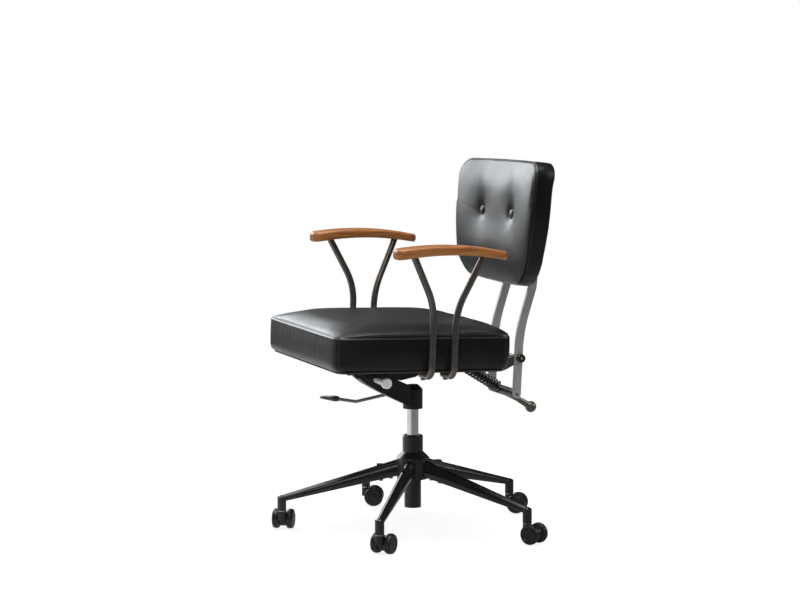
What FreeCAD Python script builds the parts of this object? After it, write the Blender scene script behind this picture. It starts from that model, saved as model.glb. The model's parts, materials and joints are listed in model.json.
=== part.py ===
import FreeCAD, Part
import math
import os
from types import SimpleNamespace

import Sketcher

# A bankers swivel chair in millimetres. +Z is up, the sitter faces -Y and +X is the
# sitter's left. The origin lies on the floor, on the axis of the gas column.

V = FreeCAD.Vector
TURN = FreeCAD.Rotation

# Driving dimensions, one cell of the sheet each
SIZES = {
    # fits between pieces
    "running_fit": 0.05,
    "seat_gap": 0.05,
    "soft_gap": 0.3,
    # five-arm base
    "arm_count": 5,
    "first_arm_angle": 180,
    "stem_circle": 320,
    "hub_panel_distance": 40.3,
    "hub_socket_distance": 38.2,
    "hub_bottom": 125,
    "hub_top": 191,
    "hub_shoulder_drop": 15,
    "tongue_length": 50,
    "tongue_width": 15,
    "tongue_height": 19,
    "arm_root_width": 31,
    "arm_root_height": 41,
    "arm_root_level": 151,
    "arm_tip_width": 19,
    "arm_tip_height": 16.5,
    "arm_tip_level": 78,
    "socket_radius": 11,
    "socket_bottom": 48,
    "socket_top": 82,
    "arm_bolt_first": 54,
    "arm_bolt_spacing": 24,
    "arm_bolt_radius": 3,
    "arm_bolt_head_radius": 5.5,
    "arm_bolt_head_height": 5,
    # casters
    "wheel_radius": 24.2,
    "wheel_width": 18,
    "wheel_offset": 17.2,
    "wheel_edge_radius": 6,
    "wheel_dish_radius": 15,
    "wheel_dish_depth": 1.2,
    "caster_trail": 21,
    "axle_radius": 4,
    "stem_radius": 5.5,
    "stem_grip_length": 28,
    "stem_ring_radius": 10.5,
    "stem_ring_height": 1.4,
    "caster_neck_radius": 10.5,
    "caster_web_radius": 18,
    "caster_web_width": 14.8,
    # gas column
    "collar_radius": 25,
    "column_radius": 20.6,
    "column_bottom": 53.5,
    "column_top": 231,
    "column_bore_radius": 17.8,
    "column_floor_level": 58,
    "column_floor_thickness": 4,
    "bush_bottom": 141,
    "cylinder_radius": 14,
    "cylinder_bottom": 129,
    "cylinder_top_gap": 14.4,
    "cylinder_bore_radius": 11.5,
    "cylinder_cap_height": 8,
    "cylinder_bore_top": 309,
    "piston_rod_radius": 5,
    "piston_level": 195,
    "piston_thickness": 8,
    "bearing_radius": 11,
    "bearing_height": 6,
    "rod_shoulder_radius": 9,
    "rod_shoulder_height": 3,
    "rod_spigot_radius": 4,
    "valve_radius": 4,
    "valve_length": 19,
    "valve_recess": 14,
    "valve_lever_gap": 1.2,
    # mechanism under the seat
    "boss_radius": 24,
    "boss_bottom": 297,
    "boss_cover": 9.6,
    "boss_chamfer": 11,
    "casting_width": 52,
    "casting_wall": 6,
    "pivot_y": -150,
    "pivot_level": 396,
    "pivot_boss_radius": 13,
    "pivot_shaft_radius": 6,
    "rubber_radius": 11,
    "valve_room_radius": 12,
    "lever_radius": 4,
    "lever_ball_radius": 7,
    "lever_level": 345.4,
    "lever_ball_distance": 36,
    "lever_elbow_x": -110,
    "lever_elbow_y": -106.5,
    "lever_elbow_level": 303.6,
    "lever_end_x": -166,
    "lever_end_y": -143,
    "lever_end_level": 305.5,
    "paddle_length": 54,
    "paddle_width": 20,
    "paddle_height": 14,
    "paddle_tip_height": 8,
    "knob_y": -105,
    "knob_level": 375,
    "knob_radius": 13,
    "knob_thickness": 9,
    "knob_reach": 97,
    "knob_barrel_radius": 7.5,
    "knob_hidden_length": 16,
    # seat, measured in a frame that leans back with it
    "seat_level": 418.6,
    "seat_slope": 1.84,
    "pan_thickness": 4,
    "pan_inset": 5,
    "pan_front": -280,
    "pan_rear": 140,
    "pan_corner_radius": 24,
    "board_thickness": 12,
    "board_margin": 14,
    "cushion_width": 488,
    "cushion_front": -291,
    "cushion_rear": 151,
    "cushion_height": 80,
    "cushion_crown": 31,
    "cushion_corner_radius": 26,
    "cushion_shoulder": 62,
    "cushion_side_bulge": 4,
    "saddle_thickness": 4,
    "saddle_half_width": 62,
    "saddle_front": -172,
    "saddle_rear": 58,
    "cheek_gap": 1,
    # arm rests
    "rod_radius": 8,
    "rod_start_inset": 43,
    "rod_side_gap": 7,
    "rod_top_lean": 17,
    "rod_screw_run": 8,
    "rod_low_bend": 26,
    "front_rod_y": -59,
    "front_rod_top_y": -119,
    "front_rod_bend_height": 156,
    "front_rod_bend": 160,
    "rear_rod_y": -3,
    "rear_rod_top_y": 55,
    "rear_rod_bend_height": 142,
    "rear_rod_bend": 190,
    "pad_outset": 3,
    "pad_width": 56,
    "pad_front": -169,
    "pad_rear": 110,
    "pad_top": 297.5,
    "pad_thickness": 22,
    "pad_rise": 11,
    "pad_front_thickness": 24.5,
    "pad_rear_thickness": 20.5,
    "pad_end_radius": 22,
    "pad_edge_radius": 7,
    "rod_socket_depth": 9,
    "screw_radius": 3,
    "screw_head_radius": 6,
    "screw_head_height": 4,
    # back pivot and bars
    "recline_y": 250.3,
    "recline_level": 417,
    "bracket_x": 66.7,
    "bracket_thickness": 6,
    "bracket_width": 22,
    "bracket_start_y": 30,
    "bracket_corner_y": 208,
    "bracket_bend": 60,
    "pivot_axle_radius": 5,
    "pivot_knob_radius": 10.5,
    "pivot_knob_height": 12,
    "bar_x": 74,
    "bar_thickness": 8,
    "bar_width": 20,
    "bar_foot_y": 243.5,
    "bar_foot_level": 327.5,
    "bar_waist_y": 251,
    "bar_waist_level": 483,
    "bar_shoulder_drop": 156,
    "bar_waist_bend": 330,
    "bar_shoulder_bend": 70,
    "bar_end_height": 32,
    # back rest, measured in a frame that leans back with it
    "back_y": 257,
    "back_level": 750,
    "back_lean": 5,
    "back_half_height": 145,
    "back_top_half_width": 229,
    "back_bottom_half_width": 198,
    "back_side_bow": 4,
    "back_thickness": 47,
    "back_sweep": 20,
    "back_crown": 20,
    "back_top_corner": 48,
    "back_bottom_corner": 62,
    "back_plate_half_width": 160,
    "back_plate_corner": 30,
    "back_plate_half_height": 112,
    "back_plate_thickness": 13.5,
    "button_x": 87,
    "button_height": 17,
    "button_radius": 12,
    "button_rise": 6,
    "tuft_depth": 15,
    "tuft_radius": 62,
    "tuft_floor_radius": 13,
    "button_shank_radius": 2.5,
    "button_nut_radius": 7,
    "button_nut_height": 5,
    "back_bolt_radius": 3.5,
    "back_bolt_head_radius": 6.5,
    "back_bolt_head_height": 4,
    # tension spring and its rod
    "anchor_y": 119,
    "anchor_level": 404,
    "anchor_lug_gap": 20,
    "anchor_lug_thickness": 4,
    "anchor_pin_radius": 4,
    "trunnion_radius": 11.5,
    "trunnion_pin_radius": 3,
    "trunnion_end_gap": 0.3,
    "tension_rod_radius": 5,
    "tension_rod_slack": 1.2,
    "spring_radius": 12.5,
    "spring_wire_radius": 2.4,
    "spring_turns": 11,
    "spring_start": 24,
    "spring_collar_thickness": 3,
    "spring_end_gap": 0.9,
    "nut_radius": 9.5,
    "nut_length": 30,
    "grip_radius": 14,
    "grip_distance": 232,
}

# The way that each caster trails, anticlockwise from +X, arm by arm
CASTER_ANGLES = (65, 150, 131, 27, 54)

doc = FreeCAD.newDocument("swivel_chair")
sheet = doc.addObject("Spreadsheet::Sheet", "sizes")
for row, (alias, number) in enumerate(SIZES.items(), start=1):
    sheet.set("A%d" % row, alias)
    sheet.set("B%d" % row, str(number))
    sheet.setAlias("B%d" % row, alias)
doc.recompute()


class Size:
    """A number from the sheet together with the formula that binds it to its cells."""

    def __init__(self, number, text):
        self.number = float(number)
        self.text = text

    def __float__(self):
        return self.number

    def __add__(self, other):
        return Size(self.number + float(other), "(%s + %s)" % (self.text, words(other)))

    def __sub__(self, other):
        return Size(self.number - float(other), "(%s - %s)" % (self.text, words(other)))

    def __mul__(self, other):
        return Size(self.number * float(other), "%s * %s" % (self.text, words(other)))

    def __truediv__(self, other):
        return Size(self.number / float(other), "%s / %s" % (self.text, words(other)))

    def __neg__(self):
        return Size(-self.number, "(0 - %s)" % self.text)

    __radd__ = __add__


def words(value):
    return value.text if isinstance(value, Size) else repr(value)


# The same cells twice: s holds them as formulas for sketches and primitives, d as numbers
s = SimpleNamespace(**{alias: Size(sheet.get(alias), "sizes." + alias) for alias in SIZES})
d = SimpleNamespace(**{alias: float(sheet.get(alias)) for alias in SIZES})

ARMS = int(d.arm_count)
parts = {}


def keep(label, piece):
    """Registers a finished sub-part under the name of its file."""
    piece.Label = label
    parts[label] = piece
    return piece


def bind(piece, **cells):
    for name, size in cells.items():
        if isinstance(size, Size):
            setattr(piece, name, size.number)
            piece.setExpression(name, size.text)
        else:
            setattr(piece, name, size)


def place(piece, base=V(), rotation=TURN()):
    piece.Placement = FreeCAD.Placement(base, rotation)
    return piece


def cylinder(name, radius, height, base=V(), rotation=TURN()):
    piece = doc.addObject("Part::Cylinder", name)
    bind(piece, Radius=radius, Height=height)
    return place(piece, base, rotation)


def cone(name, low_radius, high_radius, height, base=V()):
    piece = doc.addObject("Part::Cone", name)
    bind(piece, Radius1=low_radius, Radius2=high_radius, Height=height)
    return place(piece, base)


def block(name, length, width, height, base=V(), rotation=TURN()):
    piece = doc.addObject("Part::Box", name)
    bind(piece, Length=length, Width=width, Height=height)
    return place(piece, base, rotation)


def fused(name, pieces):
    piece = doc.addObject("Part::MultiFuse", name)
    piece.Shapes = pieces
    piece.Refine = True
    return piece


def cut(name, base, tools):
    """Takes every tool away from the base."""
    tool = tools[0] if len(tools) == 1 else fused(name + "_tools", tools)
    piece = doc.addObject("Part::Cut", name)
    piece.Base = base
    piece.Tool = tool
    return piece


def solid(name, shape):
    """A feature whose shape is made by hand, for forms that no primitive fits."""
    piece = doc.addObject("Part::Feature", name)
    piece.Shape = shape
    return piece


def outline(body, role, corners):
    """A closed sketch of straight sides on one of the body's own origin planes."""
    sketch = body.newObject("Sketcher::SketchObject", body.Name + "_outline")
    plane = next(item for item in body.Origin.OriginFeatures if item.Role == role)
    sketch.AttachmentSupport = [(plane, "")]
    sketch.MapMode = "FlatFace"
    spots = [V(float(across), float(up), 0) for across, up in corners]
    count = len(spots)
    lines = [Part.LineSegment(spots[index], spots[(index + 1) % count]) for index in range(count)]
    sketch.addGeometry(lines, False)
    rules = [Sketcher.Constraint("Coincident", index, 2, (index + 1) % count, 1)
             for index in range(count)]
    sketch.addConstraint(rules)
    for index, corner in enumerate(corners):
        for kind, size in zip(("DistanceX", "DistanceY"), corner):
            number = sketch.addConstraint(Sketcher.Constraint(kind, -1, 1, index, 1, float(size)))
            if isinstance(size, Size):
                sketch.setExpression("Constraints[%d]" % number, size.text)
    return sketch


def turned(name, corners, base=V(), rotation=TURN()):
    """A turned piece: corners are pairs of radius and height above the body's origin."""
    body = doc.addObject("PartDesign::Body", name)
    sketch = outline(body, "XZ_Plane", corners)
    turn = body.newObject("PartDesign::Revolution", name + "_turn")
    turn.Profile = sketch
    turn.ReferenceAxis = (sketch, ["V_Axis"])
    turn.Angle = 360
    return place(body, base, rotation)


def along(direction):
    """The rotation that lays a piece made along +Z along another direction."""
    return TURN(V(0, 0, 1), direction)


ALONG_X = along(V(1, 0, 0))


def rounded_path(points, bends):
    """Straight runs through the points, joined by tangent arcs with the given radii."""
    edges = []
    start = points[0]
    for before, corner, after, radius in zip(points, points[1:], points[2:], bends):
        inward = (before - corner).normalize()
        outward = (after - corner).normalize()
        half = inward.getAngle(outward) / 2
        reach = radius / math.tan(half)
        first = corner + inward * reach
        last = corner + outward * reach
        middle = (inward + outward).normalize()
        nearest = corner + middle * (radius / math.sin(half) - radius)
        if (first - start).Length > 1e-6:
            edges.append(Part.LineSegment(start, first).toShape())
        edges.append(Part.Arc(first, nearest, last).toShape())
        start = last
    edges.append(Part.LineSegment(start, points[-1]).toShape())
    return edges


def tube(points, bends, radius):
    """A round bar bent along a path."""
    path = Part.Wire(rounded_path(points, bends))
    direction = points[1] - points[0]
    ring = Part.Wire(Part.makeCircle(radius, points[0], direction))
    return path.makePipeShell([ring], True, False)


def flat_bar(points, bends, width, thickness, x):
    """A flat bar bent in a plane of constant x, as an outline of two offset paths."""
    sides = []
    for side in (1, -1):
        shifted = []
        radii = []
        for index, point in enumerate(points):
            before = points[max(index - 1, 0)]
            after = points[min(index + 1, len(points) - 1)]
            into = (point - before) if index else (after - point)
            out = (after - point) if index < len(points) - 1 else into
            first = V(0, -into.z, into.y).normalize()
            second = V(0, -out.z, out.y).normalize()
            middle = (first + second).normalize()
            shifted.append(point + middle * (side * width / 2 / middle.dot(first)))
            if 0 < index < len(points) - 1:
                turning = into.cross(out).x
                radii.append(bends[index - 1] - math.copysign(side * width / 2, turning))
        sides.append(rounded_path(shifted, radii))
    left, right = sides
    tip = (points[-1] - points[-2]).normalize() * (width / 2)
    heel = (points[0] - points[1]).normalize() * (width / 2)
    ends = [left[0].Vertexes[0].Point, left[-1].Vertexes[-1].Point,
            right[-1].Vertexes[-1].Point, right[0].Vertexes[0].Point]
    nose = Part.Arc(ends[1], points[-1] + tip, ends[2]).toShape()
    foot = Part.Arc(ends[3], points[0] + heel, ends[0]).toShape()
    wire = Part.Wire(Part.__sortEdges__(left + right + [nose, foot]))
    face = Part.Face(wire)
    face.translate(V(x - thickness / 2, 0, 0))
    return face.extrude(V(thickness, 0, 0))


def lying_cylinder(radius, length, middle):
    """A cylinder along X, centred on a point."""
    return Part.makeCylinder(radius, length, middle - V(length / 2, 0, 0), V(1, 0, 0))


def polygon_face(points):
    return Part.Face(Part.makePolygon(points + points[:1]))


# Frames that lean: the seat's lies at the underside of the cushion, the back's behind it
SEAT_TURN = TURN(V(1, 0, 0), -d.seat_slope)
SEAT = FreeCAD.Placement(V(0, 0, d.seat_level), SEAT_TURN)
BACK = FreeCAD.Placement(V(0, d.back_y, d.back_level), TURN(V(1, 0, 0), -d.back_lean))


# The five-arm base

def arm_angle(index):
    return d.first_arm_angle + index * 360 / d.arm_count


def about_column(angle):
    return FreeCAD.Placement(V(), TURN(V(0, 0, 1), angle))


def base_hub():
    """Ten-sided hub with a tongue for each arm and a taper for the gas column."""
    half_side = math.cos(math.pi / ARMS)
    height = s.hub_top - s.hub_bottom
    low = V(0, 0, d.hub_bottom)
    panels = doc.addObject("Part::Prism", "hub_panels")
    bind(panels, Polygon=ARMS, Circumradius=s.hub_panel_distance / half_side, Height=height)
    place(panels, low, TURN(V(0, 0, 1), arm_angle(0)))
    sockets = doc.addObject("Part::Prism", "hub_sockets")
    bind(sockets, Polygon=ARMS, Circumradius=s.hub_socket_distance / half_side, Height=height)
    place(sockets, low, TURN(V(0, 0, 1), arm_angle(0) + 180 / d.arm_count))
    top_radius = s.collar_radius + s.seat_gap
    shoulder = cone("hub_shoulder", top_radius + height * (s.hub_panel_distance - s.collar_radius)
                    / s.hub_shoulder_drop, top_radius, height, low)
    core = doc.addObject("Part::MultiCommon", "hub_core")
    core.Shapes = [panels, sockets, shoulder]
    tongues = []
    for index in range(ARMS):
        corner = V(d.hub_socket_distance - 4, -d.tongue_width / 2, d.arm_root_level - d.tongue_height / 2)
        spin = TURN(V(0, 0, 1), arm_angle(index))
        tongues.append(block("hub_tongue", s.tongue_length + 4, s.tongue_width, s.tongue_height,
                             spin.multVec(corner), spin))
    body = fused("hub_body", [core] + tongues)
    taper = cone("hub_taper", s.column_radius + s.seat_gap, s.collar_radius + s.seat_gap, height, low)
    drills = [taper]
    for index in range(ARMS):
        spin = TURN(V(0, 0, 1), arm_angle(index))
        for spot in bolt_spots():
            drills.append(cylinder("tongue_drill", s.arm_bolt_radius + s.seat_gap,
                                   s.tongue_height * 3, spin.multVec(V(spot, 0, d.hub_bottom)), spin))
    keep("base_hub", cut("hub", body, drills))


def bolt_spots():
    return (d.arm_bolt_first, d.arm_bolt_first + d.arm_bolt_spacing)


def arm_underside(reach):
    """Height of the underside of an arm at a distance from the column."""
    share = (reach - d.hub_socket_distance) / (d.stem_circle - d.hub_socket_distance)
    middle = d.arm_root_level + (d.arm_tip_level - d.arm_root_level) * share
    return middle - (d.arm_root_height + (d.arm_tip_height - d.arm_root_height) * share) / 2


def bolt_seat(reach):
    return arm_underside(reach + d.arm_bolt_head_radius) + 3


def arm_section(reach, level, width, height):
    """One upright cut through an arm: full below, narrower at its rounded top."""
    low = V(reach, width * 0.37, level - height * 0.46)
    flank = V(reach, width / 2, level - height * 0.12)
    high = V(reach, width * 0.3, level + height * 0.34)
    crest = V(reach, 0, level + height / 2)
    keel = V(reach, 0, level - height / 2)
    points = [low, flank, high, crest, mirrored(high), mirrored(flank), mirrored(low), keel]
    edges = []
    for start in range(0, 8, 2):
        trio = [points[(start + step) % 8] for step in range(3)]
        edges.append(Part.Arc(*trio).toShape())
    return Part.Wire(edges)


def mirrored(point):
    return V(point.x, -point.y, point.z)


def base_arm_form():
    """One arm along +X: a taper from the hub to the caster socket."""
    root = arm_section(d.hub_socket_distance + d.seat_gap, d.arm_root_level, d.arm_root_width,
                       d.arm_root_height)
    tip = arm_section(d.stem_circle, d.arm_tip_level, d.arm_tip_width, d.arm_tip_height)
    taper = solid("arm_taper", Part.makeLoft([root, tip], True, True))
    socket = cylinder("arm_socket", s.socket_radius, s.socket_top - s.socket_bottom,
                      V(d.stem_circle, 0, d.socket_bottom))
    crown = doc.addObject("Part::Sphere", "arm_crown")
    bind(crown, Radius=s.socket_radius)
    place(crown, V(d.stem_circle, 0, d.arm_tip_level + d.arm_tip_height / 2 - d.socket_radius))
    body = fused("arm_body", [taper, socket, crown])
    gap = d.seat_gap * 4
    recess = block("arm_recess", s.tongue_length + gap, s.tongue_width + 2 * gap, s.tongue_height + 2 * gap,
                   V(d.hub_socket_distance, -d.tongue_width / 2 - gap,
                     d.arm_root_level - d.tongue_height / 2 - gap))
    stem_room = cylinder("arm_stem_room", s.stem_radius + s.running_fit, s.stem_grip_length,
                         V(d.stem_circle, 0, d.socket_bottom))
    tools = [recess, stem_room]
    for spot in bolt_spots():
        tools.append(cylinder("arm_bolt_room", s.arm_bolt_radius + s.seat_gap, s.arm_root_height / 2,
                              V(spot, 0, bolt_seat(spot) - 1)))
        tools.append(cylinder("arm_head_room", s.arm_bolt_head_radius + 0.5, s.arm_root_height / 2,
                              V(spot, 0, bolt_seat(spot) - d.arm_root_height / 2)))
    return cut("arm_form", body, tools)


def base_arms():
    form = base_arm_form()
    doc.recompute()
    for index in range(ARMS):
        arm = solid("arm", form.Shape)
        arm.Placement = about_column(arm_angle(index))
        keep("base_arm_%d" % (index + 1), arm)


def arm_bolts():
    """Ten bolts that go up through the arms into the tongues of the hub."""
    shapes = []
    for index in range(ARMS):
        for spot in bolt_spots():
            level = bolt_seat(spot)
            head = Part.makeCylinder(d.arm_bolt_head_radius, d.arm_bolt_head_height,
                                     V(spot, 0, level - d.arm_bolt_head_height))
            end = d.arm_root_level + d.tongue_height / 4
            shank = Part.makeCylinder(d.arm_bolt_radius, end - level + 1, V(spot, 0, level - 1))
            bolt = head.fuse(shank).removeSplitter()
            bolt.Placement = about_column(arm_angle(index)).multiply(bolt.Placement)
            shapes.append(bolt)
    keep("arm_bolts", solid("bolts", Part.makeCompound(shapes)))


# Gas column

def gas_column():
    wall = s.column_radius - s.column_bore_radius
    rim = s.column_bore_radius
    floor_top = s.column_floor_level + s.column_floor_thickness
    hole = s.rod_spigot_radius + s.running_fit
    keep("column_tube", turned("tube", [
        (hole, s.column_floor_level), (rim, s.column_floor_level),
        (rim, s.column_bottom), (s.column_radius, s.column_bottom),
        (s.column_radius, s.hub_bottom), (s.collar_radius, s.hub_top),
        (s.collar_radius, s.column_top - 2), (s.collar_radius - 2, s.column_top),
        (rim, s.column_top), (rim, floor_top), (hole, floor_top)]))
    bush = s.column_bore_radius - s.seat_gap
    inner = s.cylinder_radius + s.running_fit
    keep("column_guide_bush", turned("bush", [
        (inner, s.bush_bottom), (bush, s.bush_bottom), (bush, s.column_top - wall / 2),
        (inner, s.column_top - wall / 2)]))
    keep("thrust_bearing", turned("bearing", [
        (hole, floor_top), (s.bearing_radius, floor_top),
        (s.bearing_radius, floor_top + s.bearing_height), (hole, floor_top + s.bearing_height)]))
    shoulder = floor_top + s.bearing_height + s.running_fit
    clip = s.column_floor_level - s.running_fit
    head = s.cylinder_bore_radius - s.running_fit
    zero = s.piston_level * 0.0
    keep("piston_rod", turned("rod", [
        (zero, clip - 4), (s.rod_spigot_radius, clip - 4), (s.rod_spigot_radius, clip - 2),
        (s.bearing_radius, clip - 2), (s.bearing_radius, clip), (s.rod_spigot_radius, clip),
        (s.rod_spigot_radius, shoulder),
        (s.rod_shoulder_radius, shoulder), (s.rod_shoulder_radius, shoulder + s.rod_shoulder_height),
        (s.piston_rod_radius, shoulder + s.rod_shoulder_height), (s.piston_rod_radius, s.piston_level),
        (head, s.piston_level), (head, s.piston_level + s.piston_thickness),
        (zero, s.piston_level + s.piston_thickness)]))
    gland = s.piston_rod_radius + s.running_fit
    cap = s.cylinder_bottom + s.cylinder_cap_height
    cylinder_top = s.lever_level - s.cylinder_top_gap
    recess_floor = cylinder_top - s.valve_recess
    button = s.valve_radius + s.running_fit
    keep("gas_cylinder", turned("cylinder", [
        (gland, s.cylinder_bottom), (s.cylinder_radius, s.cylinder_bottom),
        (s.cylinder_radius, cylinder_top), (button, cylinder_top), (button, recess_floor),
        (zero, recess_floor), (zero, s.cylinder_bore_top), (s.cylinder_bore_radius, s.cylinder_bore_top),
        (s.cylinder_bore_radius, cap), (gland, cap)]))
    valve_top = s.lever_level - s.lever_radius - s.valve_lever_gap
    keep("valve_pin", turned("valve", [
        (zero, valve_top - s.valve_length), (s.valve_radius, valve_top - s.valve_length),
        (s.valve_radius, valve_top - 3), (s.valve_radius - 2.5, valve_top), (zero, valve_top)]))


# Casters, all from one set of forms that trail along +X below the stem

def caster_forms():
    middle = V(d.caster_trail, 0, d.wheel_radius)
    across = along(V(0, 1, 0))
    half_web = V(0, d.caster_web_width / 2, 0)
    web = cylinder("caster_web", s.caster_web_radius, s.caster_web_width, middle - half_web, across)
    neck = cylinder("caster_neck", s.caster_neck_radius, s.socket_bottom - s.stem_ring_height
                    - s.wheel_radius, V(0, 0, d.wheel_radius))
    bridge = block("caster_bridge", s.caster_trail, s.caster_web_width, s.wheel_radius * 0.8,
                   V(0, -d.caster_web_width / 2, d.wheel_radius))
    boss_reach = s.wheel_offset + s.wheel_width / 2
    body = fused("caster_body", [web, neck, bridge])
    stem_hole = cylinder("caster_stem_hole", s.stem_radius + s.seat_gap, s.wheel_radius * 1.6,
                         V(0, 0, d.wheel_radius + 5))
    axle_hole = cylinder("caster_axle_hole", s.axle_radius + s.seat_gap, s.caster_web_width * 2,
                         middle - half_web * 2, across)
    wheel_room = []
    clear = s.wheel_offset - s.wheel_width / 2 - s.caster_web_width / 2
    for side in (1, -1):
        start = d.caster_web_width / 2 if side > 0 else -d.caster_web_width / 2 - 30
        wheel_room.append(cylinder("caster_wheel_room", s.wheel_radius + clear + 1, 30.0,
                                   middle + V(0, start, 0), across))
    housing = cut("caster_housing", body, [stem_hole, axle_hole] + wheel_room)
    stem = turned("caster_stem", stem_profile())
    axle = cylinder("caster_axle", s.axle_radius, boss_reach * 2 - 2,
                    middle - V(0, float(boss_reach) - 1, 0), across)
    doc.recompute()
    pins = Part.makeCompound([stem.Shape, axle.Shape])
    wheel = turned("caster_wheel", wheel_profile())
    doc.recompute()
    wheels = []
    for side in (1, -1):
        shape = wheel.Shape.copy()
        turn = TURN(V(1, 0, 0), -90 * side)
        shape.Placement = FreeCAD.Placement(middle + V(0, side * d.wheel_offset, 0), turn)
        wheels.append(shape)
    return {"housing": housing.Shape, "pins": pins, "wheel_left": wheels[0], "wheel_right": wheels[1]}


def stem_profile():
    """Stem with a thin ring that carries the arm's socket on the caster's neck."""
    zero = s.stem_radius * 0.0
    low = s.wheel_radius + 5 + s.seat_gap
    ring_low = s.socket_bottom - s.stem_ring_height + s.seat_gap
    ring_top = s.socket_bottom - s.running_fit
    top = s.socket_bottom + s.stem_grip_length - 1
    return [(zero, low), (s.stem_radius, low), (s.stem_radius, ring_low), (s.stem_ring_radius, ring_low),
            (s.stem_ring_radius, ring_top), (s.stem_radius, ring_top), (s.stem_radius, top - 2),
            (s.stem_radius - 2, top), (zero, top)]


def wheel_profile():
    """Half section of a wheel; the dished face points away from the caster's web."""
    half = s.wheel_width / 2
    edge = s.wheel_edge_radius
    bore = s.axle_radius + s.running_fit
    lip = edge * (1 - math.sqrt(0.5))
    return [(bore, -half), (s.wheel_radius - edge, -half), (s.wheel_radius - lip, -half + lip),
            (s.wheel_radius, -half + edge), (s.wheel_radius, half - edge),
            (s.wheel_radius - lip, half - lip), (s.wheel_radius - edge, half),
            (s.wheel_dish_radius, half), (s.wheel_dish_radius - 1, half - s.wheel_dish_depth),
            (bore, half - s.wheel_dish_depth)]


def casters():
    forms = caster_forms()
    for index in range(ARMS):
        turn = math.radians(arm_angle(index))
        spot = V(d.stem_circle * math.cos(turn), d.stem_circle * math.sin(turn), 0)
        trail = TURN(V(0, 0, 1), CASTER_ANGLES[index % len(CASTER_ANGLES)])
        for name, form in forms.items():
            piece = solid("caster_" + name, form.copy())
            piece.Placement = FreeCAD.Placement(spot, trail).multiply(form.Placement)
            keep("caster_%d_%s" % (index + 1, name), piece)


# Mechanism: casting on the gas cylinder, lever, lock knob and tilt shaft

def lever_direction():
    """Unit vector of the lever from above the valve towards the elbow."""
    elbow = V(d.lever_elbow_x, d.lever_elbow_y, d.lever_elbow_level)
    return (elbow - V(0, 0, d.lever_level)).normalize()


def mech_casting():
    """Boss on the gas cylinder with an open arm that rises forward to the tilt shaft."""
    pivot = V(0, d.pivot_y, d.pivot_level)
    width = d.casting_width
    nose = d.pivot_boss_radius
    boss_top = d.lever_level + d.boss_cover
    cylinder_top = d.lever_level - d.cylinder_top_gap
    rim = [(-14, 10), (-52, 28), (-92, 49), (-128, 70)]
    low = [V(0, y, d.boss_bottom + rise - 3) for y, rise in rim]
    high = [V(0, d.pivot_y + 20, d.pivot_level + nose - 3), V(0, -92, d.pivot_level - 6),
            V(0, -44, d.pivot_level - 27), V(0, -14, boss_top)]
    arm = polygon_face(low + [pivot + V(0, 4, -nose)] + high).extrude(V(width, 0, 0))
    arm.translate(V(-width / 2, 0, 0))
    web = polygon_face([V(0, -128, d.boss_bottom + 67), pivot + V(0, -2, -nose), pivot + V(0, 0, nose),
                        V(0, d.pivot_y + 20, d.pivot_level + nose - 3)]).extrude(V(width, 0, 0))
    web.translate(V(-width / 2, 0, 0))
    ear = lying_cylinder(nose, width, pivot)
    boss = Part.makeCylinder(d.boss_radius, boss_top - d.boss_bottom - d.boss_chamfer,
                             V(0, 0, d.boss_bottom))
    cap = Part.makeCone(d.boss_radius, d.boss_radius - d.boss_chamfer, d.boss_chamfer,
                        V(0, 0, boss_top - d.boss_chamfer))
    body = arm.multiFuse([web, ear, boss, cap])
    inside = width - 2 * d.casting_wall
    floor = d.casting_wall
    room = polygon_face([V(0, -40, d.boss_bottom + 22 + floor), V(0, -128, d.boss_bottom + 67 + floor),
                         V(0, -128, d.pivot_level + 40), V(0, -40, d.pivot_level + 40)])
    room = room.extrude(V(inside, 0, 0))
    room.translate(V(-inside / 2, 0, 0))
    bore = Part.makeCylinder(d.cylinder_radius + d.seat_gap, cylinder_top - d.boss_bottom + 1,
                             V(0, 0, d.boss_bottom - 1))
    valve_room = Part.makeCylinder(d.valve_room_radius, d.cylinder_top_gap + d.lever_radius + 2,
                                   V(0, 0, cylinder_top))
    way = Part.makeCylinder(d.lever_ball_radius + d.running_fit, 90, V(0, 0, d.lever_level),
                            lever_direction())
    rubber = lying_cylinder(d.rubber_radius + d.seat_gap, inside, pivot)
    shaft = lying_cylinder(d.pivot_shaft_radius + d.seat_gap, width + 2, pivot)
    barrel = Part.makeCylinder(d.knob_barrel_radius + d.running_fit, width,
                               V(0, d.knob_y, d.knob_level), V(1, 0, 0))
    body = body.cut(Part.makeCompound([room])).cut(bore).cut(valve_room).cut(way)
    body = body.cut(rubber).cut(shaft).cut(barrel).removeSplitter()
    keep("mech_casting", solid("casting", body))


def tilt_shaft():
    """Shaft through the casting and the saddle's cheeks, inside a sleeve of torsion rubber."""
    pivot = V(0, d.pivot_y, d.pivot_level)
    reach = d.casting_width / 2 + d.cheek_gap + d.saddle_thickness + 3
    shaft = lying_cylinder(d.pivot_shaft_radius, 2 * reach, pivot)
    inside = d.casting_width - 2 * d.casting_wall - 2 * d.seat_gap
    sleeve = lying_cylinder(d.rubber_radius, inside, pivot)
    sleeve = sleeve.cut(lying_cylinder(d.pivot_shaft_radius + d.seat_gap, inside + 2, pivot))
    keep("tilt_shaft", solid("shaft", Part.makeCompound([shaft, sleeve])))


def lock_knob():
    """Push-pull knob on a long barrel that slides in the casting's side."""
    zero = s.knob_reach * 0.0
    tip = s.casting_width / 2 - s.casting_wall - s.knob_hidden_length
    face = s.knob_reach - s.knob_thickness
    keep("lock_knob", turned("knob", [
        (zero, tip), (s.knob_barrel_radius, tip), (s.knob_barrel_radius, face),
        (s.knob_radius - 1, face), (s.knob_radius, face + 1), (s.knob_radius, s.knob_reach - 2),
        (s.knob_radius - 2, s.knob_reach), (zero, s.knob_reach)],
        V(0, d.knob_y, d.knob_level), ALONG_X))


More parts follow.
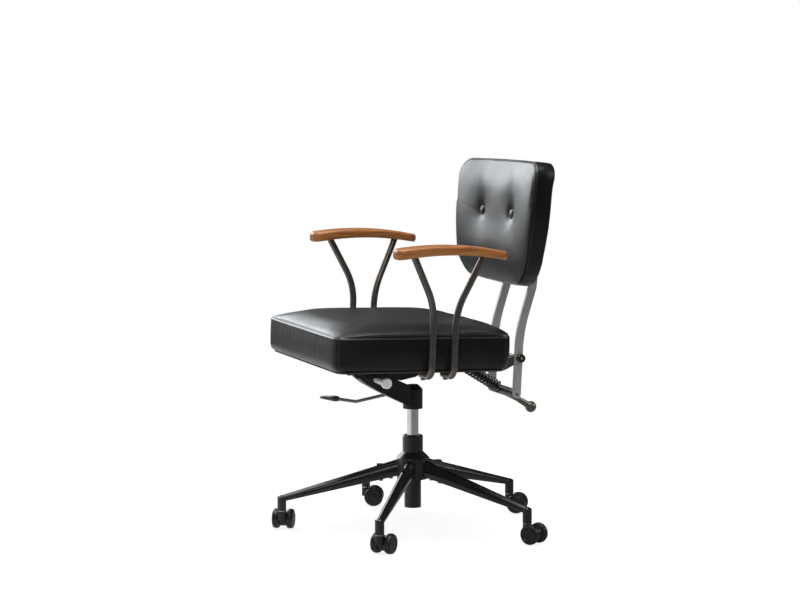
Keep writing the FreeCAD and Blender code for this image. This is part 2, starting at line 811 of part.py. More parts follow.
def lift_lever():
    """Bent lever from above the valve, through a ball in the casting, to its paddle."""
    way = lever_direction()
    top = V(0, 0, d.lever_level)
    elbow = V(d.lever_elbow_x, d.lever_elbow_y, d.lever_elbow_level)
    end = V(d.lever_end_x, d.lever_end_y, d.lever_end_level)
    rod = tube([top - way * 3, elbow, end], [14], d.lever_radius)
    ball = Part.makeSphere(d.lever_ball_radius, top + way * d.lever_ball_distance)
    keep("lift_lever", solid("lever", rod.fuse(ball).removeSplitter()))
    out = (end - elbow).normalize()
    level = V(out.x, out.y, 0).normalize()
    sections = []
    for share, width, height in ((0, 0.7, 0.75), (0.12, 1, 1), (0.55, 1, 0.8), (0.92, 0.8, 0.55),
                                 (1, 0.55, 0.35)):
        middle = end - level * (d.paddle_length * 0.25) + level * (d.paddle_length * share)
        half_height = d.paddle_height / 2 * height
        if share == 1:
            half_height = d.paddle_tip_height / 2 * 0.8
        side = V(-level.y, level.x, 0)
        oval = Part.Ellipse(V(), d.paddle_width / 2 * width, half_height).toShape()
        turn = FreeCAD.Rotation(side, V(0, 0, 1), level, "ZXY")
        oval.Placement = FreeCAD.Placement(middle, turn)
        sections.append(Part.Wire(oval))
    paddle = Part.makeLoft(sections, True, False)
    hole = tube([top - way * 3, elbow, end], [14], d.lever_radius + d.seat_gap)
    keep("lever_paddle", solid("paddle", paddle.cut(hole)))


# Seat

def seat_solid(label, shape):
    """Keeps a piece that was made in the seat's own leaning frame."""
    piece = solid(label + "_form", shape)
    piece.Placement = SEAT
    return keep(label, piece)


def seat_point(x, y, z):
    """A point of the chair, in the seat's own leaning frame."""
    return SEAT.inverse().multVec(V(x, y, z))


def pan_half_width():
    return d.cushion_width / 2 - d.pan_inset


def rod_start_x():
    """Inner end of an arm rod, under the pan."""
    return pan_half_width() - d.rod_start_inset


def rod_side_x():
    """Upright of an arm rod, clear of the cushion's side at its fullest."""
    return d.cushion_width / 2 + d.cushion_side_bulge + d.rod_side_gap + d.rod_radius


def rod_screw_spots():
    """Where the arm rods are screwed up into the seat, in the seat's frame."""
    x = rod_start_x() + d.screw_head_radius + d.rod_screw_run
    return [V(side * x, y, 0) for side in (1, -1) for y in (d.front_rod_y, d.rear_rod_y)]


def screw_holes(low, high):
    """Clearance holes for the seat's screws between two heights."""
    radius = d.screw_radius + d.seat_gap
    return [Part.makeCylinder(radius, high - low, spot + V(0, 0, low)) for spot in rod_screw_spots()]


def seat_saddle():
    """Pressed saddle under the pan: a top plate and two cheeks that straddle the casting."""
    top = -d.pan_thickness - d.seat_gap
    under = top - d.saddle_thickness
    pivot = seat_point(0, d.pivot_y, d.pivot_level)
    knob = seat_point(0, d.knob_y, d.knob_level)
    plate_form = Part.makeBox(2 * d.saddle_half_width, d.saddle_rear - d.saddle_front, d.saddle_thickness,
                              V(-d.saddle_half_width, d.saddle_front, under))
    eye = d.pivot_shaft_radius + 9
    arch = knob.z + d.knob_barrel_radius + 13
    foot = knob.z - 2
    corners = [(d.saddle_front, top), (d.saddle_front, pivot.z), (pivot.y - eye * 0.5, pivot.z - eye),
               (pivot.y + eye * 0.5, pivot.z - eye), (pivot.y + eye, pivot.z),
               (knob.y - 22, arch), (knob.y + 16, arch), (knob.y + 30, foot + 4),
               (knob.y + 62, foot), (knob.y + 100, foot + 8), (d.saddle_rear - 4, top)]
    face = polygon_face([V(0, y, z) for y, z in corners])
    inner = d.casting_width / 2 + d.cheek_gap
    shape = plate_form
    for x in (inner, -inner - d.saddle_thickness):
        cheek = face.extrude(V(d.saddle_thickness, 0, 0))
        cheek.translate(V(x, 0, 0))
        shape = shape.fuse(cheek)
    eyes = lying_cylinder(d.pivot_shaft_radius + d.running_fit, 3 * d.saddle_half_width, pivot)
    shape = shape.cut(eyes).removeSplitter()
    seat_solid("seat_saddle", shape)


def seat_pan():
    """Steel pan under the cushion; its rounded edge shows below the leather."""
    form = Part.makeBox(2 * pan_half_width(), d.pan_rear - d.pan_front, d.pan_thickness,
                        V(-pan_half_width(), d.pan_front, -d.pan_thickness))
    corners = [edge for edge in form.Edges if abs(edge.tangentAt(0).z) > 0.9]
    form = form.makeFillet(d.pan_corner_radius, corners)
    for hole in screw_holes(-d.pan_thickness - 1, 1):
        form = form.cut(hole)
    seat_solid("seat_pan", form)


def board_box(grow):
    """The plywood board inside the cushion, grown on every side but the bottom."""
    half = d.cushion_width / 2 - d.board_margin + grow
    front = d.cushion_front + d.board_margin - grow
    rear = d.cushion_rear - d.board_margin + grow
    return Part.makeBox(2 * half, rear - front, d.board_thickness + grow, V(-half, front, 0))


def seat_board():
    form = board_box(0)
    for hole in screw_holes(-1, d.board_thickness - 2):
        form = form.cut(hole)
    seat_solid("seat_board", form)


def corner_draw(depth, radius):
    """How far a rounded corner draws the side in, at a depth from the end."""
    if depth >= radius:
        return 0.0
    return radius - math.sqrt(radius ** 2 - (radius - depth) ** 2)


def crown_share(place_along, half_length):
    """Share of the full crown at a place between the middle and an end."""
    return max(0.0, 1 - abs(place_along / half_length) ** 2.6) ** 0.5


def end_stations(half_length, first_radius, last_radius):
    """Places of the loft sections along a cushion, close together at its rounded ends."""
    shares = (0, 0.06, 0.25, 0.6, 1.1)
    places = [-half_length + first_radius * share for share in shares]
    places += [half_length - last_radius * share for share in reversed(shares)]
    return places


def seat_cushion():
    """Boxed cushion: upright band with slightly full sides, and a crowned top."""
    middle = (d.cushion_front + d.cushion_rear) / 2
    half_length = (d.cushion_rear - d.cushion_front) / 2
    radius = d.cushion_corner_radius
    places = end_stations(half_length, radius, radius)
    places[5:5] = [-half_length / 3, half_length / 3]
    sections = []
    for spot in places:
        half = d.cushion_width / 2 - corner_draw(half_length - abs(spot), radius)
        bulge = d.cushion_side_bulge * crown_share(spot, half_length * 1.02)
        crown = 1.5 + d.cushion_crown * crown_share(spot, half_length * 1.01)
        sections.append(cushion_section(half, bulge, crown, middle + spot))
    form = Part.makeLoft(sections, True, False)
    form = form.cut(board_box(d.seat_gap))
    seat_solid("seat_cushion", form)


def cushion_section(half, bulge, crown, y):
    """One upright cut through the cushion: base line, full sides and a crowned top."""
    low_right = V(half - 2, y, 0)
    high_right = V(half - 1, y, d.cushion_height)
    low_left = V(-half + 2, y, 0)
    high_left = V(-half + 1, y, d.cushion_height)
    right = Part.Arc(low_right, V(half + bulge, y, d.cushion_height / 2), high_right)
    shoulder = d.cushion_shoulder
    crest = d.cushion_height + crown * 0.84
    bend = d.cushion_height + crown * 0.6
    inner_right = V(half - shoulder, y, crest)
    inner_left = V(shoulder - half, y, crest)
    rise = Part.Arc(high_right, V(half - shoulder * 0.46, y, bend), inner_right)
    top = Part.Arc(inner_right, V(0, y, d.cushion_height + crown), inner_left)
    fall = Part.Arc(inner_left, V(shoulder * 0.46 - half, y, bend), high_left)
    left = Part.Arc(high_left, V(-half - bulge, y, d.cushion_height / 2), low_left)
    base = Part.LineSegment(low_left, low_right)
    return Part.Wire([edge.toShape() for edge in (right, rise, top, fall, left, base)])


# Arm rests

def rod_points(side, row_y, top_y, bend_height, pad_face):
    """Route of one arm rod in the seat's frame, from under the pan into the arm pad."""
    low = -d.pan_thickness - d.rod_radius - d.seat_gap
    corner = V(side * rod_side_x(), row_y, low)
    bend = V(side * rod_side_x(), row_y, bend_height)
    top = V(side * (rod_side_x() + d.rod_top_lean), top_y, pad_face)
    return [V(side * rod_start_x(), row_y, low), corner, bend,
            top + (top - bend).normalize() * (d.rod_socket_depth - 2)]


def pad_middle():
    return (d.pad_front + d.pad_rear) / 2


def pad_underside(y):
    """Height of the underside of an arm pad at a place along it, in the seat's frame."""
    half = (d.pad_rear - d.pad_front) / 2
    share = (y - pad_middle()) / half
    end_thickness = d.pad_front_thickness if share < 0 else d.pad_rear_thickness
    return d.pad_top - d.pad_thickness - (d.pad_rise + end_thickness - d.pad_thickness) * share ** 2


def arm_rods():
    rows = {"front": (d.front_rod_y, d.front_rod_top_y, d.front_rod_bend_height, d.front_rod_bend),
            "rear": (d.rear_rod_y, d.rear_rod_top_y, d.rear_rod_bend_height, d.rear_rod_bend)}
    for side, side_name in ((1, "left"), (-1, "right")):
        sockets = []
        for row_name, (row_y, top_y, bend_height, bend) in rows.items():
            points = rod_points(side, row_y, top_y, bend_height, pad_underside(top_y))
            bends = [d.rod_low_bend, bend]
            rod = tube(points, bends, d.rod_radius)
            for spot in rod_screw_spots():
                drill = Part.makeCylinder(d.screw_radius + d.seat_gap, 60, spot - V(0, 0, 50))
                rod = rod.cut(drill)
            seat_solid("arm_rod_%s_%s" % (side_name, row_name), rod)
            last = points[-1]
            way = (points[-1] - points[-2]).normalize()
            sockets.append(Part.makeCylinder(d.rod_radius + d.seat_gap, d.rod_socket_depth + 40,
                                             last + way * 2 - way * (d.rod_socket_depth + 40), way))
        arm_pad(side, side_name, sockets)


def arm_pad(side, side_name, sockets):
    """Arched wooden pad with rounded ends, drilled underneath for its two rods."""
    middle = pad_middle()
    ends = [V(0, d.pad_front, d.pad_top - d.pad_rise), V(0, d.pad_rear, d.pad_top - d.pad_rise - 3)]
    front_low = ends[0] - V(0, 0, d.pad_front_thickness)
    rear_low = ends[1] - V(0, 0, d.pad_rear_thickness)
    top = Part.Arc(ends[0], V(0, middle, d.pad_top), ends[1]).toShape()
    low = Part.Arc(rear_low, V(0, middle, d.pad_top - d.pad_thickness), front_low).toShape()
    rear = Part.LineSegment(ends[1], rear_low).toShape()
    front = Part.LineSegment(front_low, ends[0]).toShape()
    form = Part.Face(Part.Wire([top, rear, low, front])).extrude(V(d.pad_width, 0, 0))
    pad_x = rod_side_x() + d.rod_top_lean + d.pad_outset
    form.translate(V(side * pad_x - d.pad_width / 2, 0, 0))
    uprights = [edge for edge in form.Edges if edge.Length < d.pad_front_thickness + 1
                and abs(edge.tangentAt(edge.FirstParameter).z) > 0.9]
    form = form.makeFillet(d.pad_end_radius, uprights)
    rims = [edge for edge in form.Edges if abs(edge.tangentAt(edge.FirstParameter).z) < 0.5
            or edge.Curve.TypeId != "Part::GeomLine"]
    form = form.makeFillet(d.pad_edge_radius, rims)
    for socket in sockets:
        form = form.cut(socket)
    seat_solid("arm_pad_" + side_name, form)


def arm_screws():
    """Screws that hold the arm rods up against the pan and the board."""
    shapes = []
    low = -d.pan_thickness - 2 * d.rod_radius - d.seat_gap
    for spot in rod_screw_spots():
        head = Part.makeCylinder(d.screw_head_radius, d.screw_head_height,
                                 spot + V(0, 0, low - d.screw_head_height))
        shank = Part.makeCylinder(d.screw_radius, d.board_thickness - 3 - low + 1, spot + V(0, 0, low - 1))
        shapes.append(head.fuse(shank).removeSplitter())
    seat_solid("arm_screws", Part.makeCompound(shapes))


# Back pivot, bars and back rest

def back_brackets():
    """Two flat arms under the pan that curve up to the recline axle."""
    low = -d.pan_thickness - d.bracket_width / 2 - d.seat_gap
    pivot = seat_point(0, d.recline_y, d.recline_level)
    points = [V(0, d.bracket_start_y, low), V(0, d.bracket_corner_y, low), V(0, pivot.y, pivot.z)]
    shapes = []
    for side in (1, -1):
        bar = flat_bar(points, [d.bracket_bend], d.bracket_width, d.bracket_thickness, side * d.bracket_x)
        hole = lying_cylinder(d.pivot_axle_radius + d.seat_gap, 4 * d.bracket_x, V(0, pivot.y, pivot.z))
        bar = bar.cut(hole)
        pin_room = lying_cylinder(d.anchor_pin_radius + d.seat_gap, 4 * d.bracket_x,
                                  seat_point(0, d.anchor_y, d.anchor_level))
        shapes.append(bar.cut(pin_room))
    seat_solid("back_brackets", Part.makeCompound(shapes))


def pivot_axle():
    """Recline axle with a domed knob at each end."""
    pivot = V(0, d.recline_y, d.recline_level)
    reach = d.bar_x + d.bar_thickness / 2 + d.soft_gap
    axle = lying_cylinder(d.pivot_axle_radius, 2 * reach, pivot)
    shapes = [axle]
    for side in (1, -1):
        way = V(side, 0, 0)
        start = pivot + way * reach
        knob = Part.makeCylinder(d.pivot_knob_radius, d.pivot_knob_height, start, way)
        rims = [edge for edge in knob.Edges if edge.Curve.TypeId == "Part::GeomCircle"
                and (edge.Curve.Center - start).Length > 1]
        shapes.append(knob.makeFillet(3, rims))
    whole = shapes[0].multiFuse(shapes[1:]).removeSplitter()
    keep("pivot_axle", solid("axle", whole))


def back_bars():
    """Bent flat bars from the spring's cross tube up behind the back rest."""
    foot = V(0, d.bar_foot_y, d.bar_foot_level)
    waist = V(0, d.bar_waist_y, d.bar_waist_level)
    middle = bar_front_face() + d.bar_width / 2
    shoulder = BACK.multVec(V(0, middle, -d.bar_shoulder_drop))
    end = BACK.multVec(V(0, middle, d.bar_end_height))
    for side, side_name in ((1, "left"), (-1, "right")):
        bar = flat_bar([foot, waist, shoulder, end], [d.bar_waist_bend, d.bar_shoulder_bend],
                       d.bar_width, d.bar_thickness, side * d.bar_x)
        pin = lying_cylinder(d.trunnion_pin_radius + d.running_fit, 4 * d.bar_x, foot)
        axle = lying_cylinder(d.pivot_axle_radius + d.running_fit, 4 * d.bar_x,
                              V(0, d.recline_y, d.recline_level))
        bar = bar.cut(pin).cut(axle)
        for spot in back_bolt_spots():
            hole = back_drill(d.back_bolt_radius, spot.x, spot.z)
            hole.Placement = BACK.multiply(hole.Placement)
            bar = bar.cut(hole)
        keep("back_bar_" + side_name, solid("bar", bar))


def bar_front_face():
    """Depth of the bars' front face in the back rest's frame."""
    return swept(d.bar_x - d.bar_thickness / 2, d.back_plate_thickness) + d.seat_gap


def back_bolt_spots():
    """Bolts through the bars into the back plate, in the back rest's frame."""
    return [V(side * d.bar_x, bar_front_face(), z) for side in (1, -1)
            for z in (-d.back_plate_half_height * 0.72, d.back_plate_half_height * 0.05)]


def sweep_radius():
    half = d.back_bottom_half_width / 2 + d.back_top_half_width / 2
    return (half ** 2 + d.back_sweep ** 2) / (2 * d.back_sweep)


def swept(x, depth):
    """A point of the back's curved plan: depth is measured from its rear at the sides."""
    radius = sweep_radius()
    return depth + d.back_sweep - radius + math.sqrt(radius ** 2 - x ** 2)


def back_drill(radius, x, z):
    """A drill right through the back rest and its bars, in the back rest's frame."""
    depth = 2 * (d.back_thickness + d.back_sweep + d.bar_width)
    return Part.makeCylinder(radius + d.seat_gap, 2 * depth, V(x, -depth, z), V(0, 1, 0))


def back_plate():
    """Formed plate behind the cushion that the bars are bolted to."""
    inner = d.seat_gap
    outer = d.back_plate_thickness
    half = d.back_plate_half_width
    high = d.back_plate_half_height
    near = [V(x, swept(x, inner), -high) for x in (-half, 0, half)]
    far = [V(x, swept(x, outer), -high) for x in (half, 0, -half)]
    wire = Part.Wire([Part.Arc(*near).toShape(), Part.LineSegment(near[2], far[0]).toShape(),
                      Part.Arc(*far).toShape(), Part.LineSegment(far[2], near[0]).toShape()])
    form = Part.Face(wire).extrude(V(0, 0, 2 * high))
    corners = [edge for edge in form.Edges if abs(edge.tangentAt(edge.FirstParameter).y) > 0.8]
    form = form.makeFillet(d.back_plate_corner, corners)
    for spot in back_bolt_spots():
        form = form.cut(back_drill(d.back_bolt_radius, spot.x, spot.z))
    for x in (d.button_x, -d.button_x):
        form = form.cut(back_drill(d.button_shank_radius, x, d.button_height))
    piece = solid("plate", form)
    piece.Placement = BACK
    keep("back_plate", piece)


def back_half_width(z):
    """Half width of the back rest at a height: wider at the top, sides slightly bowed."""
    share = (z + d.back_half_height) / (2 * d.back_half_height)
    straight = d.back_bottom_half_width + (d.back_top_half_width - d.back_bottom_half_width) * share
    return straight + d.back_side_bow * (1 - (2 * share - 1) ** 2)


def back_cushion():
    """Curved cushion with a crowned front, rounded corners and two sewn tufts."""
    half = d.back_half_height
    sections = []
    places = end_stations(half, d.back_bottom_corner, d.back_top_corner)
    places[5:5] = [-half * 0.1]
    for z in places:
        corner = d.back_top_corner if z > 0 else d.back_bottom_corner
        draw = corner_draw(half - abs(z), corner)
        x = back_half_width(z) - draw
        fullness = crown_share(z, half * 1.01)
        crown = 2 + d.back_crown * fullness
        thin = 3 * (1 - fullness)
        sections.append(back_section(x, z, crown, thin, fullness))
    form = Part.makeLoft(sections, True, False)
    for x in (d.button_x, -d.button_x):
        form = form.cut(tuft_cutter(x))
        form = form.cut(back_drill(d.button_shank_radius, x, d.button_height))
    piece = solid("back_cushion_form", form)
    piece.Placement = BACK
    keep("back_cushion", piece)


def back_section(x, z, crown, thin, fullness):
    """One level cut through the back rest, in its own frame."""
    rear_side = swept(x, 0) - thin
    front_side = swept(x, -d.back_thickness) + thin
    centre_front = swept(0, -d.back_thickness) - crown
    rear = Part.Arc(V(-x, rear_side, z), V(0, swept(0, 0) - thin, z), V(x, rear_side, z))
    pull = 2 * fullness
    right = Part.Arc(V(x, rear_side, z), V(x + pull, (rear_side + front_side) / 2, z), V(x, front_side, z))
    front = Part.Arc(V(x, front_side, z), V(0, centre_front, z), V(-x, front_side, z))
    left = Part.Arc(V(-x, front_side, z), V(-x - pull, (rear_side + front_side) / 2, z),
                    V(-x, rear_side, z))
    return Part.Wire([rear.toShape(), right.toShape(), front.toShape(), left.toShape()])


def front_at_button():
    """Depth of the crowned front face where the buttons sit, before the tufts."""
    half = back_half_width(d.button_height)
    fullness = crown_share(d.button_height, d.back_half_height * 1.01)
    side = swept(half, -d.back_thickness)
    centre = swept(0, -d.back_thickness) - 2 - d.back_crown * fullness
    return centre + (side - centre) * (d.button_x / half) ** 2


def tuft_cutter(x):
    """The dimple that a button draws into the leather."""
    front = front_at_button()
    floor = front + d.tuft_depth
    inner = d.tuft_floor_radius
    points = [V(0, floor, 0), V(inner, floor, 0), V(d.tuft_radius, front - 3, 0),
              V(d.tuft_radius, front - 40, 0), V(0, front - 40, 0)]
    waist = V(inner + (d.tuft_radius - inner) * 0.3, floor - d.tuft_depth * 0.72, 0)
    edges = [Part.LineSegment(points[0], points[1]).toShape(),
             Part.Arc(points[1], waist, points[2]).toShape(),
             Part.LineSegment(points[2], points[3]).toShape(),
             Part.LineSegment(points[3], points[4]).toShape(),
             Part.LineSegment(points[4], points[0]).toShape()]
    form = Part.Face(Part.Wire(edges)).revolve(V(), V(0, 1, 0), 360)
    form.translate(V(x, 0, d.button_height))
    return form


def back_fasteners():
    """Two covered buttons on through bolts, and four bolts that hold the bars."""
    floor = front_at_button() + d.tuft_depth
    shapes = []
    for x in (d.button_x, -d.button_x):
        rear = swept(abs(x) - d.button_nut_radius, d.back_plate_thickness) + d.seat_gap
        rise = d.button_rise
        radius = d.button_radius
        ball = (radius ** 2 + rise ** 2) / (2 * rise)
        dome = Part.makeCylinder(radius, rise, V(0, floor - rise, 0), V(0, 1, 0))
        dome = dome.common(Part.makeSphere(ball, V(0, floor - rise + ball, 0)))
        shank = Part.makeCylinder(d.button_shank_radius, rear - floor + 2, V(0, floor - 1, 0), V(0, 1, 0))
        nut = Part.makeCylinder(d.button_nut_radius, d.button_nut_height, V(0, rear, 0), V(0, 1, 0))
        button = dome.multiFuse([shank, nut]).removeSplitter()
        button.translate(V(x, -d.seat_gap, d.button_height))
        shapes.append(button)
    for spot in back_bolt_spots():
        face = spot + V(0, d.bar_width + d.seat_gap, 0)
        head = Part.makeCylinder(d.back_bolt_head_radius, d.back_bolt_head_height, face, V(0, 1, 0))
        length = d.bar_width + d.back_plate_thickness * 0.8
        shank = Part.makeCylinder(d.back_bolt_radius, length, face - V(0, length - 1, 0), V(0, 1, 0))
        shapes.append(head.fuse(shank).removeSplitter())
    piece = solid("back_fasteners_form", Part.makeCompound(shapes))
    piece.Placement = BACK
    keep("back_fasteners", piece)


# Tension rod, its spring and the cross tube between the bars

ANCHOR = V(0, d.anchor_y, d.anchor_level)
FOOT = V(0, d.bar_foot_y, d.bar_foot_level)
ROD_WAY = (FOOT - ANCHOR).normalize()
ROD_REACH = (FOOT - ANCHOR).Length


def on_rod(distance):
    return ANCHOR + ROD_WAY * distance


def spring_anchor():
    """Block on a cross pin between the brackets; the rod screws into it."""
    reach = d.bracket_x + d.bracket_thickness / 2
    pin = lying_cylinder(d.anchor_pin_radius, 2 * reach - 0.4, ANCHOR)
    side = d.anchor_lug_gap
    length = d.spring_start - d.spring_collar_thickness
    neck = Part.makeCylinder(side / 2, length, ANCHOR, ROD_WAY)
    collar = Part.makeCylinder(d.spring_radius + d.spring_wire_radius, d.spring_collar_thickness,
                               on_rod(length), ROD_WAY)
    hub = lying_cylinder(d.anchor_pin_radius + 2.2, side, ANCHOR)
    hole = Part.makeCylinder(d.tension_rod_radius + d.running_fit, length + 20, on_rod(8), ROD_WAY)
    lid = seat_point(0, d.anchor_y, d.anchor_level)
    body = pin.multiFuse([neck, collar, hub]).cut(hole)
    above = Part.makeBox(60, 120, 60, V(-30, lid.y - 40, -d.pan_thickness - d.soft_gap))
    above.Placement = SEAT.multiply(above.Placement)
    keep("spring_anchor", solid("anchor", body.cut(above).removeSplitter()))


def tension_rod():
    """Threaded rod with a long nut behind the cross tube and a ball grip at its end."""
    start = 9
    rod = Part.makeCylinder(d.tension_rod_radius, d.grip_distance - start, on_rod(start), ROD_WAY)
    nut_start = ROD_REACH + d.trunnion_radius + d.soft_gap
    nut = Part.makeCone(d.nut_radius, d.nut_radius * 0.72, d.nut_length, on_rod(nut_start), ROD_WAY)
    ball = Part.makeSphere(d.grip_radius, on_rod(d.grip_distance))
    neck = Part.makeCone(d.nut_radius * 0.72, d.nut_radius * 0.9,
                         d.grip_distance - nut_start - d.nut_length,
                         on_rod(nut_start + d.nut_length), ROD_WAY)
    keep("tension_rod", solid("rod_form", rod.multiFuse([nut, neck, ball]).removeSplitter()))


def trunnion():
    """Cross tube between the feet of the bars, bored for the rod."""
    inner = d.bar_x - d.bar_thickness / 2 - d.trunnion_end_gap
    outer = d.bar_x + d.bar_thickness / 2
    barrel = lying_cylinder(d.trunnion_radius, 2 * inner, FOOT)
    pins = lying_cylinder(d.trunnion_pin_radius, 2 * outer, FOOT)
    hole = Part.makeCylinder(d.tension_rod_radius + d.tension_rod_slack, 60, on_rod(ROD_REACH - 30), ROD_WAY)
    keep("trunnion", solid("cross_tube", barrel.fuse(pins).cut(hole).removeSplitter()))


def biarc(start, start_way, end, end_way):
    """Two arcs that run from start to end and share their directions there."""
    chord = end - start
    sum_way = start_way + end_way
    a = 2 * (start_way.dot(end_way) - 1)
    b = -2 * chord.dot(sum_way)
    c = chord.dot(chord)
    reach = (-b - math.sqrt(b * b - 4 * a * c)) / (2 * a)
    first = start + start_way * reach
    second = end - end_way * reach
    joint = (first + second) * 0.5
    edges = []
    for low, knee, high in ((start, first, joint), (joint, second, end)):
        half = (knee - low).getAngle(high - knee) / 2
        weight = math.cos(half)
        middle = ((low + high) * 0.5 + knee * weight) * (1 / (1 + weight))
        edges.append(Part.Arc(low, middle, high).toShape())
    return edges


def spring_spot(turn):
    """A point of the coil and its direction, after a number of turns."""
    pitch = spring_pitch()
    across = V(1, 0, 0)
    up = ROD_WAY.cross(across).normalize()
    angle = 2 * math.pi * turn
    wire = d.spring_wire_radius
    low = d.spring_start + d.spring_end_gap + wire
    out = across * math.cos(angle) + up * math.sin(angle)
    way = (up * math.cos(angle) - across * math.sin(angle)) * (2 * math.pi * d.spring_radius)
    way = (way + ROD_WAY * pitch).normalize()
    return on_rod(low + pitch * turn) + out * d.spring_radius, way


def spring_pitch():
    length = ROD_REACH - d.trunnion_radius - d.spring_start - 2 * d.spring_end_gap
    return (length - 2 * d.spring_wire_radius) / d.spring_turns


def tension_spring():
    """Compression spring on the rod, one unbroken tube of half-turn biarcs."""
    edges = []
    halves = int(round(2 * d.spring_turns))
    spots = [spring_spot(index / 2) for index in range(halves + 1)]
    first, first_way = spots[0]
    last, last_way = spots[-1]
    stub = 2 * d.spring_wire_radius
    edges.append(Part.LineSegment(first - first_way * stub, first).toShape())
    for (start, start_way), (end, end_way) in zip(spots, spots[1:]):
        edges += biarc(start, start_way, end, end_way)
    edges.append(Part.LineSegment(last, last + last_way * stub).toShape())
    path = Part.Wire(edges)
    ring = Part.Wire(Part.makeCircle(d.spring_wire_radius, first - first_way * stub, first_way))
    form = path.makePipeShell([ring], True, False)
    print("spring gap to itself: %.2f mm" % spring_self_gap())
    keep("tension_spring", solid("spring_form", form))


def spring_self_gap():
    """Least clear space between turns, measured on points of the wire's axis."""
    per_turn = 48
    points = [spring_spot(index / per_turn)[0] for index in range(int(d.spring_turns * per_turn) + 1)]
    least = min((points[later] - points[early]).Length
                for early in range(len(points))
                for later in range(early + per_turn // 2, min(early + 2 * per_turn, len(points))))
    return least - 2 * d.spring_wire_radius


base_hub()
base_arms()
arm_bolts()
gas_column()
casters()
mech_casting()
tilt_shaft()
lock_knob()
lift_lever()
seat_saddle()
seat_pan()
seat_board()
seat_cushion()
arm_rods()
arm_screws()
back_brackets()
pivot_axle()
back_bars()
back_plate()
back_cushion()
back_fasteners()
spring_anchor()
tension_rod()
trunnion()
tension_spring()
doc.recompute()

for item in doc.Objects:
    if "Invalid" in item.State or "Error" in item.State:
        raise RuntimeError("%s (%s) did not build: %s" % (item.Label, item.TypeId, item.State))
for label, piece in parts.items():
    if piece.Shape.isNull() or not piece.Shape.isValid():
        raise RuntimeError(label + " has no valid shape")

os.makedirs("parts", exist_ok=True)
for label, piece in parts.items():
    piece.Shape.exportStep("parts/%s.step" % label)
print("%d sub-parts written" % len(parts))
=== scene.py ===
import json
import math
from bisect import bisect

import bmesh
import bpy
from mathutils import Matrix, Vector, noise
from mathutils.bvhtree import BVHTree
from mathutils.kdtree import KDTree

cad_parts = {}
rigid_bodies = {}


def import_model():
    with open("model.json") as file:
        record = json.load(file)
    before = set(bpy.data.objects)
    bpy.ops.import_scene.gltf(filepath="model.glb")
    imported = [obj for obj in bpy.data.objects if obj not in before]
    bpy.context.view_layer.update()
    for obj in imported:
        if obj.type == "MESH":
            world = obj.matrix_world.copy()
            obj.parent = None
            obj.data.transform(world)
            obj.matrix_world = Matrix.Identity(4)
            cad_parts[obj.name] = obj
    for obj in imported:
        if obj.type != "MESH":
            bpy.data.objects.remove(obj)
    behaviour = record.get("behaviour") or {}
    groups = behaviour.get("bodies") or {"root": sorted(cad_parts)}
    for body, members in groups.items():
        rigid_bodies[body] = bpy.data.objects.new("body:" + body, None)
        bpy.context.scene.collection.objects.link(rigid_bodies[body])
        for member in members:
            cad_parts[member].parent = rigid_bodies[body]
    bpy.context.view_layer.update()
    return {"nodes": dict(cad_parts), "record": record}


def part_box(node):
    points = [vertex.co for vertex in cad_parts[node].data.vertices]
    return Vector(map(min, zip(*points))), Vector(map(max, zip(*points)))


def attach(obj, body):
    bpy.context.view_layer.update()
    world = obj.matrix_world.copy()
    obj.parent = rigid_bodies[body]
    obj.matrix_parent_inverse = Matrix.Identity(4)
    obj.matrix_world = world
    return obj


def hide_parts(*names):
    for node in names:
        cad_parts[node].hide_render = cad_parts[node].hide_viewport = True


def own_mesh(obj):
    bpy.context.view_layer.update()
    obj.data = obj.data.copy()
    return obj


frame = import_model()
scene = bpy.context.scene
nodes = frame["nodes"]
joints = frame["record"]["behaviour"]["joints"]

# Camera, at the photograph's viewing angle

CAMERA_PLACE = Vector((5.1837, -2.1104, 1.1523))
CAMERA_RIGHT = Vector((0.3719, 0.9283, 0)).normalized()
CAMERA_WAY = Vector((-0.9231, 0.3699, -0.105)).normalized()
CAMERA_LENS = 104.43
CAMERA_REACH = 60
SENSOR_WIDTH = 36


def make_camera():
    data = bpy.data.cameras.new("camera")
    data.lens = CAMERA_LENS
    data.sensor_width = SENSOR_WIDTH
    data.sensor_fit = "HORIZONTAL"
    data.clip_end = CAMERA_REACH
    camera = bpy.data.objects.new("camera", data)
    scene.collection.objects.link(camera)
    up = CAMERA_RIGHT.cross(CAMERA_WAY).normalized()
    turn = Matrix((CAMERA_RIGHT, up, -CAMERA_WAY)).transposed()
    camera.matrix_world = Matrix.Translation(CAMERA_PLACE) @ turn.to_4x4()
    scene.camera = camera


# Shader nodes; texture scales count repeats in a metre, and bump distances are metres

def new_material(name):
    material = bpy.data.materials.new(name)
    material.use_nodes = True
    shader = material.node_tree.nodes["Principled BSDF"]
    return material, material.node_tree, shader


def node(tree, kind, **settings):
    made = tree.nodes.new(kind)
    for key, value in settings.items():
        setattr(made, key, value)
    return made


def preset(made, values):
    """Sets inputs of a node by their names."""
    for name, value in values.items():
        made.inputs[name].default_value = value


def coordinates(tree, stretch=(1, 1, 1)):
    place = node(tree, "ShaderNodeTexCoord")
    mapping = node(tree, "ShaderNodeMapping")
    preset(mapping, {"Scale": stretch})
    tree.links.new(place.outputs["Object"], mapping.inputs["Vector"])
    return mapping.outputs["Vector"]


def noise_field(tree, vector, scale, detail, roughness, distortion=0.0):
    made = node(tree, "ShaderNodeTexNoise")
    preset(made, {"Scale": scale, "Detail": detail, "Roughness": roughness,
                  "Distortion": distortion})
    tree.links.new(vector, made.inputs["Vector"])
    return made.outputs["Fac"]


